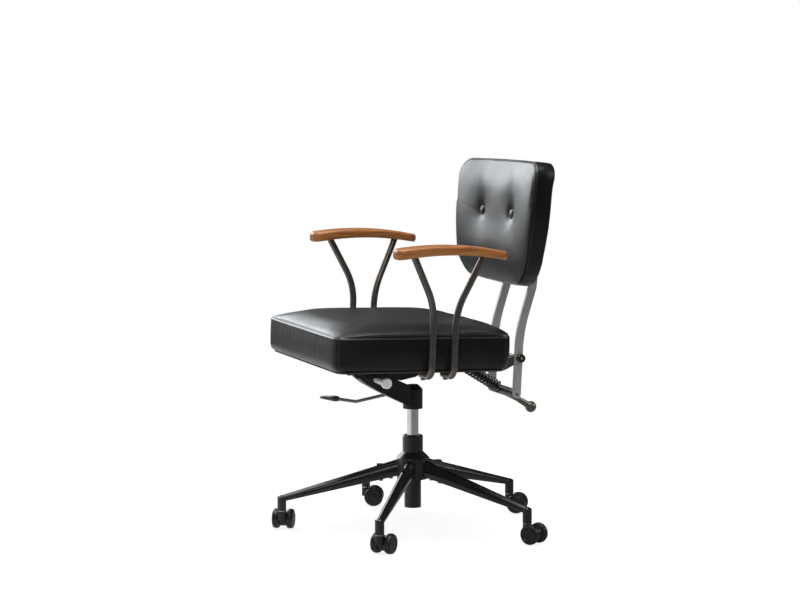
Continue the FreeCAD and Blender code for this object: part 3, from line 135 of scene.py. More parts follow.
def spread(tree, field, low, high, start=0.0, end=1.0):
    """Maps a field's stretch from start to end onto low to high."""
    made = node(tree, "ShaderNodeMapRange")
    preset(made, {"From Min": start, "From Max": end, "To Min": low, "To Max": high})
    tree.links.new(field, made.inputs["Value"])
    return made.outputs["Result"]


def ramp(tree, field, stops):
    """Colours of a field; stops are pairs of a value and its colour."""
    made = node(tree, "ShaderNodeValToRGB")
    band = made.color_ramp
    while len(band.elements) < len(stops):
        band.elements.new(0.5)
    for element, (place, color) in zip(band.elements, stops):
        element.position = place
        element.color = (*color, 1)
    tree.links.new(field, made.inputs["Fac"])
    return made.outputs["Color"]


def multiplied(tree, share, color, shade):
    """A colour darkened by another, as much as share says."""
    made = node(tree, "ShaderNodeMix", data_type="RGBA", blend_type="MULTIPLY")
    preset(made, {"Factor": share})
    tree.links.new(color, made.inputs["A"])
    tree.links.new(shade, made.inputs["B"])
    return made.outputs["Result"]


def bump(tree, shader, field, distance, strength, below=None):
    """Adds a relief to the shader, on top of the relief below."""
    made = node(tree, "ShaderNodeBump")
    preset(made, {"Distance": distance, "Strength": strength})
    tree.links.new(field, made.inputs["Height"])
    if below is not None:
        tree.links.new(below, made.inputs["Normal"])
    tree.links.new(made.outputs["Normal"], shader.inputs["Normal"])
    return made.outputs["Normal"]


def tint(tree, shader, field, stops):
    tree.links.new(ramp(tree, field, stops), shader.inputs["Base Color"])


def roughen(tree, shader, field, low, high):
    """Varies the roughness with a noise field, whose values gather between 0.3 and 0.7."""
    tree.links.new(spread(tree, field, low, high, 0.3, 0.7), shader.inputs["Roughness"])


# Materials

LEATHER_SHADE = (0.0030, 0.0031, 0.0034)
LEATHER_ROUGH = (0.30, 0.40)
WOOD_TONES = [(0.28, (0.17, 0.054, 0.011)), (0.46, (0.33, 0.117, 0.023)),
              (0.62, (0.40, 0.155, 0.033)), (0.78, (0.28, 0.092, 0.018))]


def leather(name):
    """Black leather: slow patches of tone and gloss, a pebbled grain and fine creases."""
    material, tree, shader = new_material(name)
    vector = coordinates(tree)
    patches = noise_field(tree, vector, 9, 3, 0.55)
    fine = noise_field(tree, vector, 620, 2, 0.6)
    creases = noise_field(tree, vector, 55, 4, 0.6, 0.6)
    light = tuple(value * 1.7 for value in LEATHER_SHADE)
    tint(tree, shader, patches, [(0.3, LEATHER_SHADE), (0.75, light)])
    roughen(tree, shader, patches, *LEATHER_ROUGH)
    preset(shader, {"Specular IOR Level": 0.5, "Coat Weight": 0.18, "Coat Roughness": 0.28})
    cells = node(tree, "ShaderNodeTexVoronoi", feature="DISTANCE_TO_EDGE")
    preset(cells, {"Scale": 700})
    tree.links.new(vector, cells.inputs["Vector"])
    grain = spread(tree, cells.outputs["Distance"], 0, 1, 0, 0.25)
    pebbled = bump(tree, shader, grain, 0.00009, 0.55)
    rubbed = bump(tree, shader, fine, 0.00012, 0.5, pebbled)
    bump(tree, shader, creases, 0.0009, 0.35, rubbed)
    return material


def wood(name):
    """Oiled wood with its grain along y: bands of tone, dark pores and a broad flame."""
    material, tree, shader = new_material(name)
    bands = noise_field(tree, coordinates(tree, (1, 0.075, 1)), 52, 4, 0.62, 1.4)
    pores = noise_field(tree, coordinates(tree, (1, 0.03, 1)), 420, 3, 0.65)
    flame = noise_field(tree, coordinates(tree, (1, 0.3, 1)), 11, 2, 0.5, 0.8)
    flecks = ramp(tree, pores, [(0.36, (0.45, 0.38, 0.3)), (0.56, (1, 1, 1))])
    shadows = ramp(tree, flame, [(0.3, (0.72, 0.66, 0.6)), (0.7, (1, 1, 1))])
    flecked = multiplied(tree, 0.5, ramp(tree, bands, WOOD_TONES), flecks)
    shaded = multiplied(tree, 0.55, flecked, shadows)
    tree.links.new(shaded, shader.inputs["Base Color"])
    tree.links.new(spread(tree, bands, 0.34, 0.46), shader.inputs["Roughness"])
    preset(shader, {"Coat Weight": 0.22, "Coat Roughness": 0.22})
    bump(tree, shader, pores, 0.00022, 0.45)
    return material


def metal(name, color, rough, brushed=None, shine=1.0, grain=0.00002):
    """Bare or plated metal; brushed is the stretch of its fine scratches."""
    material, tree, shader = new_material(name)
    vector = coordinates(tree, brushed or (1, 1, 1))
    field = noise_field(tree, vector, 900 if brushed else 260, 2, 0.6)
    cloud = noise_field(tree, coordinates(tree), 24, 3, 0.55)
    dark = tuple(value * 0.86 for value in color)
    tint(tree, shader, cloud, [(0.35, dark), (0.65, color)])
    preset(shader, {"Metallic": shine})
    roughen(tree, shader, field, rough * 0.82, rough * 1.22)
    bump(tree, shader, field, grain, 0.4)
    return material


def paint(name, color, rough, peel=0.00006, coat=0.0):
    """Enamel or powder paint with a faint orange peel."""
    material, tree, shader = new_material(name)
    vector = coordinates(tree)
    skin = noise_field(tree, vector, 380, 2, 0.5)
    cloud = noise_field(tree, vector, 14, 3, 0.5)
    light = tuple(value * 1.35 + 0.002 for value in color)
    tint(tree, shader, cloud, [(0.35, color), (0.7, light)])
    roughen(tree, shader, cloud, rough * 0.88, rough * 1.15)
    preset(shader, {"Coat Weight": coat, "Coat Roughness": 0.14})
    bump(tree, shader, skin, peel, 0.5)
    return material


def moulded(name, color, rough):
    """Moulded plastic with a fine spark-eroded texture."""
    material, tree, shader = new_material(name)
    vector = coordinates(tree)
    pits = noise_field(tree, vector, 1500, 1, 0.5)
    cloud = noise_field(tree, vector, 30, 2, 0.5)
    light = tuple(value * 1.4 + 0.001 for value in color)
    tint(tree, shader, cloud, [(0.35, color), (0.7, light)])
    roughen(tree, shader, pits, rough * 0.85, rough * 1.15)
    bump(tree, shader, pits, 0.00003, 0.5)
    return material


def twisted_thread(name):
    """Black sewing thread, a little paler than the leather."""
    material, tree, shader = new_material(name)
    twist = noise_field(tree, coordinates(tree), 1800, 2, 0.6)
    tint(tree, shader, twist, [(0.3, (0.010, 0.010, 0.011)), (0.7, (0.035, 0.035, 0.037))])
    preset(shader, {"Roughness": 0.5, "Sheen Weight": 0.25})
    bump(tree, shader, twist, 0.0001, 0.6)
    return material


SEAT_LEATHER = leather("seat_leather")
THREAD = twisted_thread("thread")

LIBRARY = {
    "base_metal": paint("base_paint", (0.0045, 0.0045, 0.005), 0.30, coat=0.3),
    "fastener_steel": metal("fastener_steel", (0.42, 0.42, 0.43), 0.34),
    "bush_plastic": moulded("bush_plastic", (0.7, 0.69, 0.64), 0.45),
    "bearing_steel": metal("bearing_steel", (0.55, 0.55, 0.56), 0.28),
    "rod_steel": metal("rod_steel", (0.6, 0.6, 0.61), 0.2, brushed=(1, 1, 0.05)),
    "cylinder_chrome": metal("cylinder_chrome", (0.82, 0.82, 0.84), 0.07, grain=0.000004),
    "mechanism_metal": paint("mechanism_paint", (0.006, 0.006, 0.0065), 0.42, peel=0.0001),
    "shaft_steel": metal("shaft_steel", (0.28, 0.28, 0.29), 0.4),
    "lever_metal": paint("lever_enamel", (0.095, 0.095, 0.098), 0.34),
    "paddle_plastic": moulded("paddle_plastic", (0.026, 0.026, 0.027), 0.33),
    # The lock knob is chrome; its near-white colour with little metal in it is a painted reflection
    # of the white surroundings.
    "knob_chrome": metal("knob_chrome", (0.93, 0.93, 0.92), 0.22, shine=0.15),
    "caster_plastic": moulded("caster_plastic", (0.005, 0.005, 0.0055), 0.3),
    "caster_steel": metal("caster_steel", (0.66, 0.66, 0.68), 0.2),
    "wheel_plastic": moulded("wheel_plastic", (0.006, 0.006, 0.0065), 0.36),
    "pan_metal": paint("pan_enamel", (0.035, 0.028, 0.023), 0.36),
    "board_wood": wood("board_wood"),
    "seat_leather": SEAT_LEATHER,
    "arm_bronze": metal("arm_bronze", (0.2, 0.174, 0.154), 0.32, brushed=(1, 1, 0.06), shine=0.85),
    "arm_wood": wood("arm_wood"),
    "axle_steel": paint("axle_black", (0.012, 0.011, 0.010), 0.22, coat=0.4),
    "bar_steel": metal("bar_steel", (0.40, 0.40, 0.39), 0.42, brushed=(1, 1, 0.035), shine=0.5),
    "plate_black": paint("plate_paint", (0.014, 0.014, 0.015), 0.45, peel=0.0001),
    "spring_steel": paint("spring_paint", (0.010, 0.010, 0.0105), 0.3, coat=0.3),
}


def finish_nodes():
    """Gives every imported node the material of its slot."""
    for part in frame["record"]["subparts"]:
        for holder in nodes[part["node"]].material_slots:
            holder.material = LIBRARY[part["material_slot"]]


def finish_cross_tube():
    """The cross tube is darker and duller than the arm rods' bronze."""
    for holder in nodes["trunnion"].material_slots:
        holder.material = metal("tube_bronze", (0.10, 0.088, 0.078), 0.4, shine=0.8)


# Helpers for all added pieces

def new_piece(name, points, faces, material, body):
    mesh = bpy.data.meshes.new(name)
    mesh.from_pydata([tuple(point) for point in points], [], faces)
    mesh.update()
    made = bpy.data.objects.new(name, mesh)
    scene.collection.objects.link(made)
    mesh.materials.append(material)
    mesh.polygons.foreach_set("use_smooth", [True] * len(mesh.polygons))
    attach(made, body)
    return made


def outward(piece):
    """Turns every face of a closed mesh outward."""
    work = bmesh.new()
    work.from_mesh(piece.data)
    bmesh.ops.recalc_face_normals(work, faces=work.faces)
    work.to_mesh(piece.data)
    work.free()


def tube_faces(start, rings, corners, capped=True):
    """Faces of a tube whose points run ring by ring from the index start."""
    faces = []
    for ring in range(rings - 1):
        low = start + ring * corners
        high = low + corners
        for corner in range(corners):
            after = (corner + 1) % corners
            faces.append([low + corner, low + after, high + after, high + corner])
    if capped:
        end = start + (rings - 1) * corners
        faces.append([start + corner for corner in range(corners - 1, -1, -1)])
        faces.append([end + corner for corner in range(corners)])
    return faces


def eased(value):
    """A smooth step from 0 to 1."""
    value = max(0.0, min(1.0, value))
    return value * value * (3 - 2 * value)


# Cushion covers: a mesh of grid panels, filled by a cloth simulation and then sewn

SEAM_LINES = (0.985, 0.955)
CLOTH = {"quality": 5, "mass": 0.4, "tension_stiffness": 18, "compression_stiffness": 14,
         "shear_stiffness": 8, "bending_stiffness": 1.5, "air_damping": 2,
         "use_pressure": True, "uniform_pressure_force": 3.0}
CLOTH_FRAMES = 20
SMOOTHING_ROUNDS = 5
SMOOTHING_OWN = 0.4
SMOOTHING_NEAR = 0.6

FURROW_STEP = 0.0015
STITCH_OFFSET = 0.0042
STITCH_LENGTH = 0.0046
STITCH_STEP = 0.0062
THREAD_RADIUS = 0.00045
THREAD_CORNERS = 6
# Each ring of a stitch: its place along it, its thickness, and its height over the leather
STITCH_RINGS = ((-0.5, 0.35, -0.5), (-0.36, 0.95, 0.35), (0, 1, 0.75),
                (0.36, 0.95, 0.35), (0.5, 0.35, -0.5))


class Shell:
    """A cushion's cover: a front and a rear panel of grid quads, joined by a band of rings."""

    def __init__(self, shares_u, shares_v):
        self.shares_u = shares_u
        self.shares_v = shares_v
        self.across = len(shares_u)
        self.along = len(shares_v)
        self.points = []
        self.faces = []

    def rim(self):
        """Grid places round the edge, in order."""
        last_u, last_v = self.across - 1, self.along - 1
        places = [(column, 0) for column in range(last_u)]
        places += [(last_u, row) for row in range(last_v)]
        places += [(column, last_v) for column in range(last_u, 0, -1)]
        places += [(0, row) for row in range(last_v, 0, -1)]
        return places

    def rim_shares(self):
        """The u and v of the places round the edge."""
        return [(self.shares_u[column], self.shares_v[row]) for column, row in self.rim()]

    def panel(self, shape, flip):
        """Adds a panel; shape gives the point for u and v from -1 to 1.

        Returns the indices of its points by column and row.
        """
        start = len(self.points)
        for v in self.shares_v:
            for u in self.shares_u:
                self.points.append(shape(u, v))
        index = [[start + row * self.across + column for row in range(self.along)]
                 for column in range(self.across)]
        for row in range(self.along - 1):
            for column in range(self.across - 1):
                quad = [index[column][row], index[column + 1][row],
                        index[column + 1][row + 1], index[column][row + 1]]
                self.faces.append(quad[::-1] if flip else quad)
        return index

    def edge(self, index):
        """The indices round a panel's edge."""
        return [index[column][row] for column, row in self.rim()]

    def rings(self, first, last, rows):
        """Joins two rims by rings of points; returns every ring, the rims included."""
        count = len(first)
        chain = [first]
        for row in rows:
            start = len(self.points)
            self.points.extend(row)
            chain.append(list(range(start, start + count)))
        chain.append(last)
        for low, high in zip(chain, chain[1:]):
            for step in range(count):
                after = (step + 1) % count
                self.faces.append([low[step], low[after], high[after], high[step]])
        return chain


def shares(count):
    """Grid lines from -1 to 1, with close pairs beside the seams at both ends."""
    outer, inner = SEAM_LINES
    middle = [-inner + 2 * inner * step / (count - 1) for step in range(count)]
    return [-1, -outer] + middle + [outer, 1]


def swollen_points(piece, pinned):
    """Where the points of a piece are after the cloth simulation, with the pinned ones held."""
    group = piece.vertex_groups.new(name="sewn")
    group.add(sorted(pinned), 1.0, "REPLACE")
    padding = piece.modifiers.new("padding", "CLOTH")
    for key, value in CLOTH.items():
        setattr(padding.settings, key, value)
    padding.settings.vertex_group_mass = group.name
    padding.settings.effector_weights.gravity = 0
    padding.collision_settings.use_collision = False
    padding.point_cache.frame_start = 1
    padding.point_cache.frame_end = CLOTH_FRAMES
    for step in range(1, CLOTH_FRAMES + 1):
        scene.frame_set(step)
    graph = bpy.context.evaluated_depsgraph_get()
    found = [vertex.co.copy() for vertex in piece.evaluated_get(graph).data.vertices]
    piece.modifiers.remove(padding)
    piece.vertex_groups.remove(group)
    return found


def smoothed(mesh, moves, pinned):
    """Evens out the moves of a mesh's points between neighbours; pinned points keep theirs."""
    beside = [[] for move in moves]
    for edge in mesh.edges:
        one, other = edge.vertices
        beside[one].append(other)
        beside[other].append(one)
    for turn in range(SMOOTHING_ROUNDS):
        means = [sum((moves[near] for near in group), Vector()) * (SMOOTHING_NEAR / len(group))
                 for group in beside]
        moves = [move if number in pinned else move * SMOOTHING_OWN + mean
                 for number, (move, mean) in enumerate(zip(moves, means))]
    return moves


def puff(piece, pinned, cap):
    """Fills a cover by a short pressure simulation; sewn points stay, others move at most cap."""
    mesh = piece.data
    before = [vertex.co.copy() for vertex in mesh.vertices]
    moves = []
    for old, new in zip(before, swollen_points(piece, pinned)):
        move = new - old
        if not math.isfinite(move.length):
            move = Vector()
        if move.length > cap:
            move *= cap / move.length
        moves.append(move)
    for vertex, old, move in zip(mesh.vertices, before, smoothed(mesh, moves, pinned)):
        vertex.co = old + move
    mesh.update()
    scene.frame_set(1)


def subdivided(piece):
    """Replaces a piece's mesh by its mesh subdivided once."""
    piece.modifiers.new("finer", "SUBSURF").levels = 1
    graph = bpy.context.evaluated_depsgraph_get()
    mesh = bpy.data.meshes.new_from_object(piece.evaluated_get(graph))
    piece.modifiers.clear()
    old = piece.data
    piece.data = mesh
    bpy.data.meshes.remove(old)
    mesh.name = piece.name
    mesh.polygons.foreach_set("use_smooth", [True] * len(mesh.polygons))


def along_path(points, step, closed):
    """Evenly spaced places on a path, each with its direction."""
    if closed:
        points = points + [points[0]]
    total = sum((b - a).length for a, b in zip(points, points[1:]))
    count = max(2, round(total / step))
    gap = total / count
    found = []
    walked, target = 0.0, gap / 2
    for a, b in zip(points, points[1:]):
        length = (b - a).length
        while length > 0 and target <= walked + length and len(found) < count:
            share = (target - walked) / length
            found.append((a.lerp(b, share), (b - a).normalized()))
            target += gap
        walked += length
    return found


def furrow(piece, paths, depth, width, lip):
    """Draws the leather in along sewn lines, with a soft lip each side of them."""
    mesh = piece.data
    spots = [place for path, closed in paths
             for place, way in along_path(path, FURROW_STEP, closed)]
    tree = KDTree(len(spots))
    for number, spot in enumerate(spots):
        tree.insert(spot, number)
    tree.balance()
    normals = [vertex.normal.copy() for vertex in mesh.vertices]
    for vertex, normal in zip(mesh.vertices, normals):
        away = tree.find(vertex.co)[2]
        if away < width * 5:
            sink = depth * math.exp(-(away / width) ** 2)
            rise = lip * math.exp(-((away - width * 2.2) / (width * 1.1)) ** 2)
            vertex.co += normal * (rise - sink)
    mesh.update()


def stitches(name, piece, rows, body):
    """Rows of thread lying on a piece: each row is a path and its offset across the seam."""
    mesh = piece.data
    surface = BVHTree.FromPolygons([vertex.co.copy() for vertex in mesh.vertices],
                                   [tuple(face.vertices) for face in mesh.polygons])
    points, faces = [], []
    for path, closed, offset in rows:
        for place, way in along_path(path, STITCH_STEP, closed):
            spot, normal = surface.find_nearest(place)[:2]
            side = way.cross(normal).normalized()
            spot, normal = surface.find_nearest(spot + side * offset)[:2]
            side = way.cross(normal).normalized()
            faces += tube_faces(len(points), len(STITCH_RINGS), THREAD_CORNERS)
            for share, thick, lift in STITCH_RINGS:
                middle = spot + way * STITCH_LENGTH * share + normal * THREAD_RADIUS * lift
                for corner in range(THREAD_CORNERS):
                    turn = math.tau * corner / THREAD_CORNERS
                    out = side * math.cos(turn) + normal * math.sin(turn)
                    points.append(middle + out * THREAD_RADIUS * thick)
    new_piece(name, points, faces, THREAD, body)


# Seat cushion; its own frame has x across, y to the rear and z up, with its underside at z 0.
# Places on it are taken from its middle, which lies at SEAT_MIDDLE in y.

SEAT_LEVEL = 0.4186
SEAT_LEAN = -1.84
SEAT_HALF = 0.2425
SEAT_MIDDLE = -0.070
SEAT_REACH = 0.2195
SEAT_EDGE = 0.080
SEAT_CORNER = 0.026
SEAT_FOOT_INSET = 0.007
SEAT_FOOT_LEVEL = 0.0004
SEAT_REAR_SLACK = 0.0042
SEAT_PUFF = 0.0035

# The crown's full height, and the power and root of its fall towards the seams
SEAT_CROWN = 0.0262
CROWN_SIDES = (7.0, 0.46)
CROWN_FRONT = (4.4, 0.5)
CROWN_REAR = (8.0, 0.40)
# How much the rear corners of the crown stand higher, on the near and the far side
CROWN_CORNER_NEAR = 0.0050
CROWN_CORNER_FAR = 0.0014

BAND_LEVELS = (0.069, 0.061, 0.053, 0.045, 0.037, 0.029, 0.021, 0.0135)
BAND_INSET = -0.001
BAND_SWELL = 0.0022
UPRIGHT_STITCH_OFFSET = 0.0036

SEAT = Matrix.Translation((0, 0, SEAT_LEVEL)) @ Matrix.Rotation(math.radians(SEAT_LEAN), 4, "X")


def rounded(u, v, half_u, half_v, radius):
    """Maps a square of -1 to 1 onto a rectangle with rounded corners."""
    size = max(abs(u), abs(v))
    if size < 1e-9:
        return 0.0, 0.0
    x, y = u / size * half_u, v / size * half_v
    x, y = corner_rounded(x, y, half_u, half_v, radius)
    return x * size, y * size


def corner_rounded(x, y, half_x, half_y, radius):
    """Draws a place on a rectangle's edge in, where it lies in a corner's square."""
    corner_x, corner_y = half_x - radius, half_y - radius
    if abs(x) <= corner_x or abs(y) <= corner_y:
        return x, y
    middle = Vector((math.copysign(corner_x, x), math.copysign(corner_y, y)))
    way = (Vector((x, y)) - middle).normalized() * radius
    return middle.x + way.x, middle.y + way.y


def half_at(place, half, other, radius):
    """Half width of a rounded rectangle at a distance from its middle."""
    over = abs(place) - (half - radius)
    if over <= 0:
        return other
    return other - radius + math.sqrt(max(0.0, radius ** 2 - over ** 2))


def crown_height(x, y):
    """Height of the crown above the seam: it rises steeply beside the seam and is full inside."""
    wide = half_at(y, SEAT_REACH, SEAT_HALF, SEAT_CORNER)
    deep = half_at(x, SEAT_HALF, SEAT_REACH, SEAT_CORNER)
    side_power, side_root = CROWN_SIDES
    power, root = CROWN_FRONT if y < 0 else CROWN_REAR
    across = max(0.0, 1 - (abs(x) / wide) ** side_power) ** side_root
    along = max(0.0, 1 - (abs(y) / deep) ** power) ** root
    dome = 0.93 + 0.07 * (1 - (x / SEAT_HALF) ** 2) * (1 - (y / SEAT_REACH) ** 2)
    full = CROWN_CORNER_NEAR if x > 0 else CROWN_CORNER_FAR
    corner = full * math.exp(-((abs(x) - 0.185) / 0.055) ** 2 - ((y - 0.125) / 0.07) ** 2)
    return (SEAT_CROWN * dome + corner) * across * along


def rear_slack(y):
    """The rear of the seat leather stands a little behind the board."""
    return SEAT_REAR_SLACK * eased((y - 0.10) / 0.12)


def seat_band(shell, height, inset, full):
    """One ring of the band; it swells by full between the corners, twice that at the rear."""
    row = []
    for u, v in shell.rim_shares():
        x, y = rounded(u, v, SEAT_HALF - inset, SEAT_REACH - inset, SEAT_CORNER - inset * 0.7)
        place = v if abs(u) >= 1 else u
        swell = full * (1 - abs(place) ** 4)
        if abs(u) >= 1:
            x += math.copysign(swell, x)
        if abs(v) >= 1:
            y += math.copysign(swell * (2.0 if y > 0 else 1.0), y)
        y += rear_slack(y) * eased(height / 0.05)
        row.append(SEAT @ Vector((x, y + SEAT_MIDDLE, height)))
    return row


def seat_shell():
    """The seat cover's mesh before it is filled, with its rings and its underside's indices."""
    shell = Shell(shares(58), shares(52))

    def top(u, v):
        x, y = rounded(u, v, SEAT_HALF, SEAT_REACH, SEAT_CORNER)
        height = SEAT_EDGE + crown_height(x, y)
        return SEAT @ Vector((x, y + rear_slack(y) + SEAT_MIDDLE, height))

    def foot(u, v):
        x, y = rounded(u, v, SEAT_HALF - SEAT_FOOT_INSET, SEAT_REACH - SEAT_FOOT_INSET,
                       SEAT_CORNER - 0.005)
        return SEAT @ Vector((x, y + SEAT_MIDDLE, SEAT_FOOT_LEVEL))

    upper = shell.panel(top, flip=False)
    lower = shell.panel(foot, flip=True)
    rows = [seat_band(shell, 0.0785, -0.0004, 0), seat_band(shell, 0.0755, -0.0008, 0.0004)]
    for height in BAND_LEVELS:
        swell = BAND_SWELL * math.sin(math.pi * height / SEAT_EDGE)
        rows.append(seat_band(shell, height, BAND_INSET, swell))
    rows += [seat_band(shell, 0.007, 0.0004, 0), seat_band(shell, 0.0028, 0.0028, 0)]
    chain = shell.rings(shell.edge(upper), shell.edge(lower), rows)
    return shell, chain, lower


def seat_cushion():
    """The boxed seat cover: crowned top, sewn band with a seam at each front corner, flat foot."""
    shell, chain, lower = seat_shell()
    piece = new_piece("seat_cover", shell.points, shell.faces, SEAT_LEATHER, "seat")
    outward(piece)
    front_corners = [step for step, (column, row) in enumerate(shell.rim())
                     if column in (0, shell.across - 1) and row == 0]
    pinned = set().union(*lower, chain[0], chain[1], chain[-3], chain[-2])
    for step in front_corners:
        pinned |= {ring[step] for ring in chain}
    puff(piece, pinned, SEAT_PUFF)
    vertices = piece.data.vertices
    seam = [vertices[index].co.copy() for index in chain[0]]
    uprights = [[vertices[ring[step]].co.copy() for ring in chain[:-2]] for step in front_corners]
    subdivided(piece)
    seat_folds(piece)
    furrow(piece, [(seam, True)], 0.0019, 0.0019, 0.0005)
    furrow(piece, [(path, False) for path in uprights], 0.0013, 0.0017, 0.0004)
    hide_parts("seat_cushion")
    rows = [(seam, True, STITCH_OFFSET), (seam, True, -STITCH_OFFSET)]
    rows += [(path, False, offset) for path in uprights
             for offset in (UPRIGHT_STITCH_OFFSET, -UPRIGHT_STITCH_OFFSET)]
    stitches("seat_stitching", piece, rows, "seat")


def seat_folds(piece):
    """Fine upright pulls in the band and a slow unevenness in the crown."""
    mesh = piece.data
    home = SEAT.inverted()
    band_top, band_foot = 0.079, 0.004
    normals = [vertex.normal.copy() for vertex in mesh.vertices]
    for vertex, normal in zip(mesh.vertices, normals):
        spot = home @ vertex.co
        if band_foot < spot.z < band_top:
            along = spot.x if abs(spot.y - SEAT_MIDDLE) > SEAT_REACH - 0.02 else spot.y + 3
            pulls = noise.noise(Vector((along * 85, spot.z * 9, 1.7)))
            pulls += 0.6 * noise.noise(Vector((along * 210, spot.z * 12, 5.1)))
            slow = noise.noise(Vector((along * 24, spot.z * 10, 8.3)))
            hold = eased((spot.z - band_foot) / 0.02)
            vertex.co += normal * hold * (0.00035 * pulls + 0.0008 * slow)
        elif spot.z >= band_top:
            slow = noise.noise(Vector((spot.x * 9, spot.y * 9, 3.3)))
            slow += 0.35 * noise.noise(Vector((spot.x * 26, spot.y * 26, 6.4)))
            rise = eased((spot.z - SEAT_EDGE) / 0.02)
            vertex.co += normal * rise * 0.0009 * slow
    mesh.update()


# Back cushion; its own frame has x across, y to the rear and z up, with its rear's sides at y 0

BACK_PLACE = (0, 0.257, 0.750)
BACK_LEAN = -5
BACK_HALF = 0.1445
BACK_TOP = 0.2285
BACK_BOTTOM = 0.1975
BACK_THICK = 0.047
BACK_SWEEP = 0.020
BACK_CROWN = 0.0185
BACK_PUFF = 0.0045
SWEEP_HALF = 0.2135
SWEEP_RADIUS = (SWEEP_HALF ** 2 + BACK_SWEEP ** 2) / (2 * BACK_SWEEP)

SIDE_BOW = 0.0115
CORNER_BELOW = 0.060
CORNER_ABOVE_NEAR = 0.038
CORNER_ABOVE_FAR = 0.050
# How far the lower and the upper edge bow out in the middle, and lean out at the near side
EDGE_BELOW = (0.0085, 0.0025)
EDGE_ABOVE = (0.0026, 0.0030)

SEAM_INSET = 0.0015
REAR_INSET = 0.0025
SEAM_DEPTH = -BACK_THICK + 0.003
BAND_SHARES = (0.03, 0.10, 0.22, 0.35, 0.5, 0.65, 0.78, 0.90, 0.97)
BACK_BAND_SWELL = 0.0022

BUTTON_X = 0.087
BUTTON_Z = 0.017
BUTTON_HELD = 0.015
# Depth and reach of the wide hollow round a button and of the tight one inside it
TUFT_WIDE = (0.0100, 0.026)
TUFT_TIGHT = (0.0055, 0.0135)

BACK = Matrix.Translation(BACK_PLACE) @ Matrix.Rotation(math.radians(BACK_LEAN), 4, "X")


def swept(x, depth):
    """Depth at a place across a back rest that curves round the sitter."""
    return depth + BACK_SWEEP - SWEEP_RADIUS + math.sqrt(SWEEP_RADIUS ** 2 - x ** 2)


def back_outline(u, v, inset):
    """A place of the back rest's front view: wider above, bowed sides, rounded corners."""
    size = max(abs(u), abs(v))
    if size < 1e-9:
        return 0.0, 0.0
    half = BACK_HALF - inset
    edge_v = v / size
    share = (edge_v + 1) / 2
    width = BACK_BOTTOM + (BACK_TOP - BACK_BOTTOM) * share - inset
    width += SIDE_BOW * (1 - (2 * share - 1) ** 2)
    across, up = u / size * width, edge_v * half
    above = CORNER_ABOVE_NEAR if across > 0 else CORNER_ABOVE_FAR
    across, up = corner_rounded(across, up, width, half, CORNER_BELOW if up < 0 else above)
    side = across / BACK_TOP
    bow, lean = EDGE_BELOW if edge_v < 0 else EDGE_ABOVE
    shift = eased(abs(edge_v)) * (bow * (1 - side ** 2) + lean * side)
    up += shift if edge_v > 0 else -shift
    return across * size, up * size


def back_edges():
    """Half widths by height, and top and bottom by place across, of the front seam."""
    rim = []
    count = 360
    for step in range(count):
        turn = math.tau * step / count
        u, v = math.cos(turn), math.sin(turn)
        size = max(abs(u), abs(v))
        rim.append(back_outline(u / size, v / size, SEAM_INSET))
    right = sorted((z, x) for x, z in rim if x >= 0)
    left = sorted((z, -x) for x, z in rim if x <= 0)
    top = sorted((x, z) for x, z in rim if z > 0)
    bottom = sorted((x, -z) for x, z in rim if z < 0)
    return right, left, top, bottom


def read_off(table, place):
    """The second value of a sorted table at a place, in a straight line between its rows."""
    number = bisect(table, (place, 1e9))
    if number == 0 or number == len(table):
        return table[min(number, len(table) - 1)][1]
    low, high = table[number - 1], table[number]
    share = (place - low[0]) / max(1e-9, high[0] - low[0])
    return low[1] + (high[1] - low[1]) * share


BACK_EDGES = back_edges()


def back_crown(x, z):
    """How far the front stands out of its seam's plane."""
    right, left, top, bottom = BACK_EDGES
    wide = max(1e-4, read_off(right if x >= 0 else left, z))
    tall = max(1e-4, read_off(top if z >= 0 else bottom, x))
    across = max(0.0, 1 - (abs(x) / wide) ** 3.2)
    along = max(0.0, 1 - (abs(z) / tall) ** (2.5 if z > 0 else 2.2))
    return BACK_CROWN * (across * along) ** 0.5


def rear_roll(x, z):
    """How far the leather rolls out behind: more in the upper half, most at the upper corners."""
    corner = math.exp(-((abs(x) - 0.215) / 0.03) ** 2 - ((z - 0.122) / 0.024) ** 2)
    return 0.0068 * eased((z + 0.125) / 0.13) + 0.0050 * corner


def button_offsets(x, z):
    """How far a place lies across and above each of the two buttons."""
    return [(x - side * BUTTON_X, z - BUTTON_Z) for side in (1, -1)]


def tuft(x, z):
    """How deep the buttons draw the leather in at a place."""
    wide_depth, wide_reach = TUFT_WIDE
    tight_depth, tight_reach = TUFT_TIGHT
    deep = 0.0
    for across, up in button_offsets(x, z):
        away = math.hypot(across, up)
        above = 1 + 0.5 * max(0.0, math.sin(math.atan2(up, across))) ** 3
        deep += wide_depth * math.exp(-(away / (wide_reach * above)) ** 1.25)
        deep += tight_depth * math.exp(-(away / tight_reach) ** 2)
    return deep


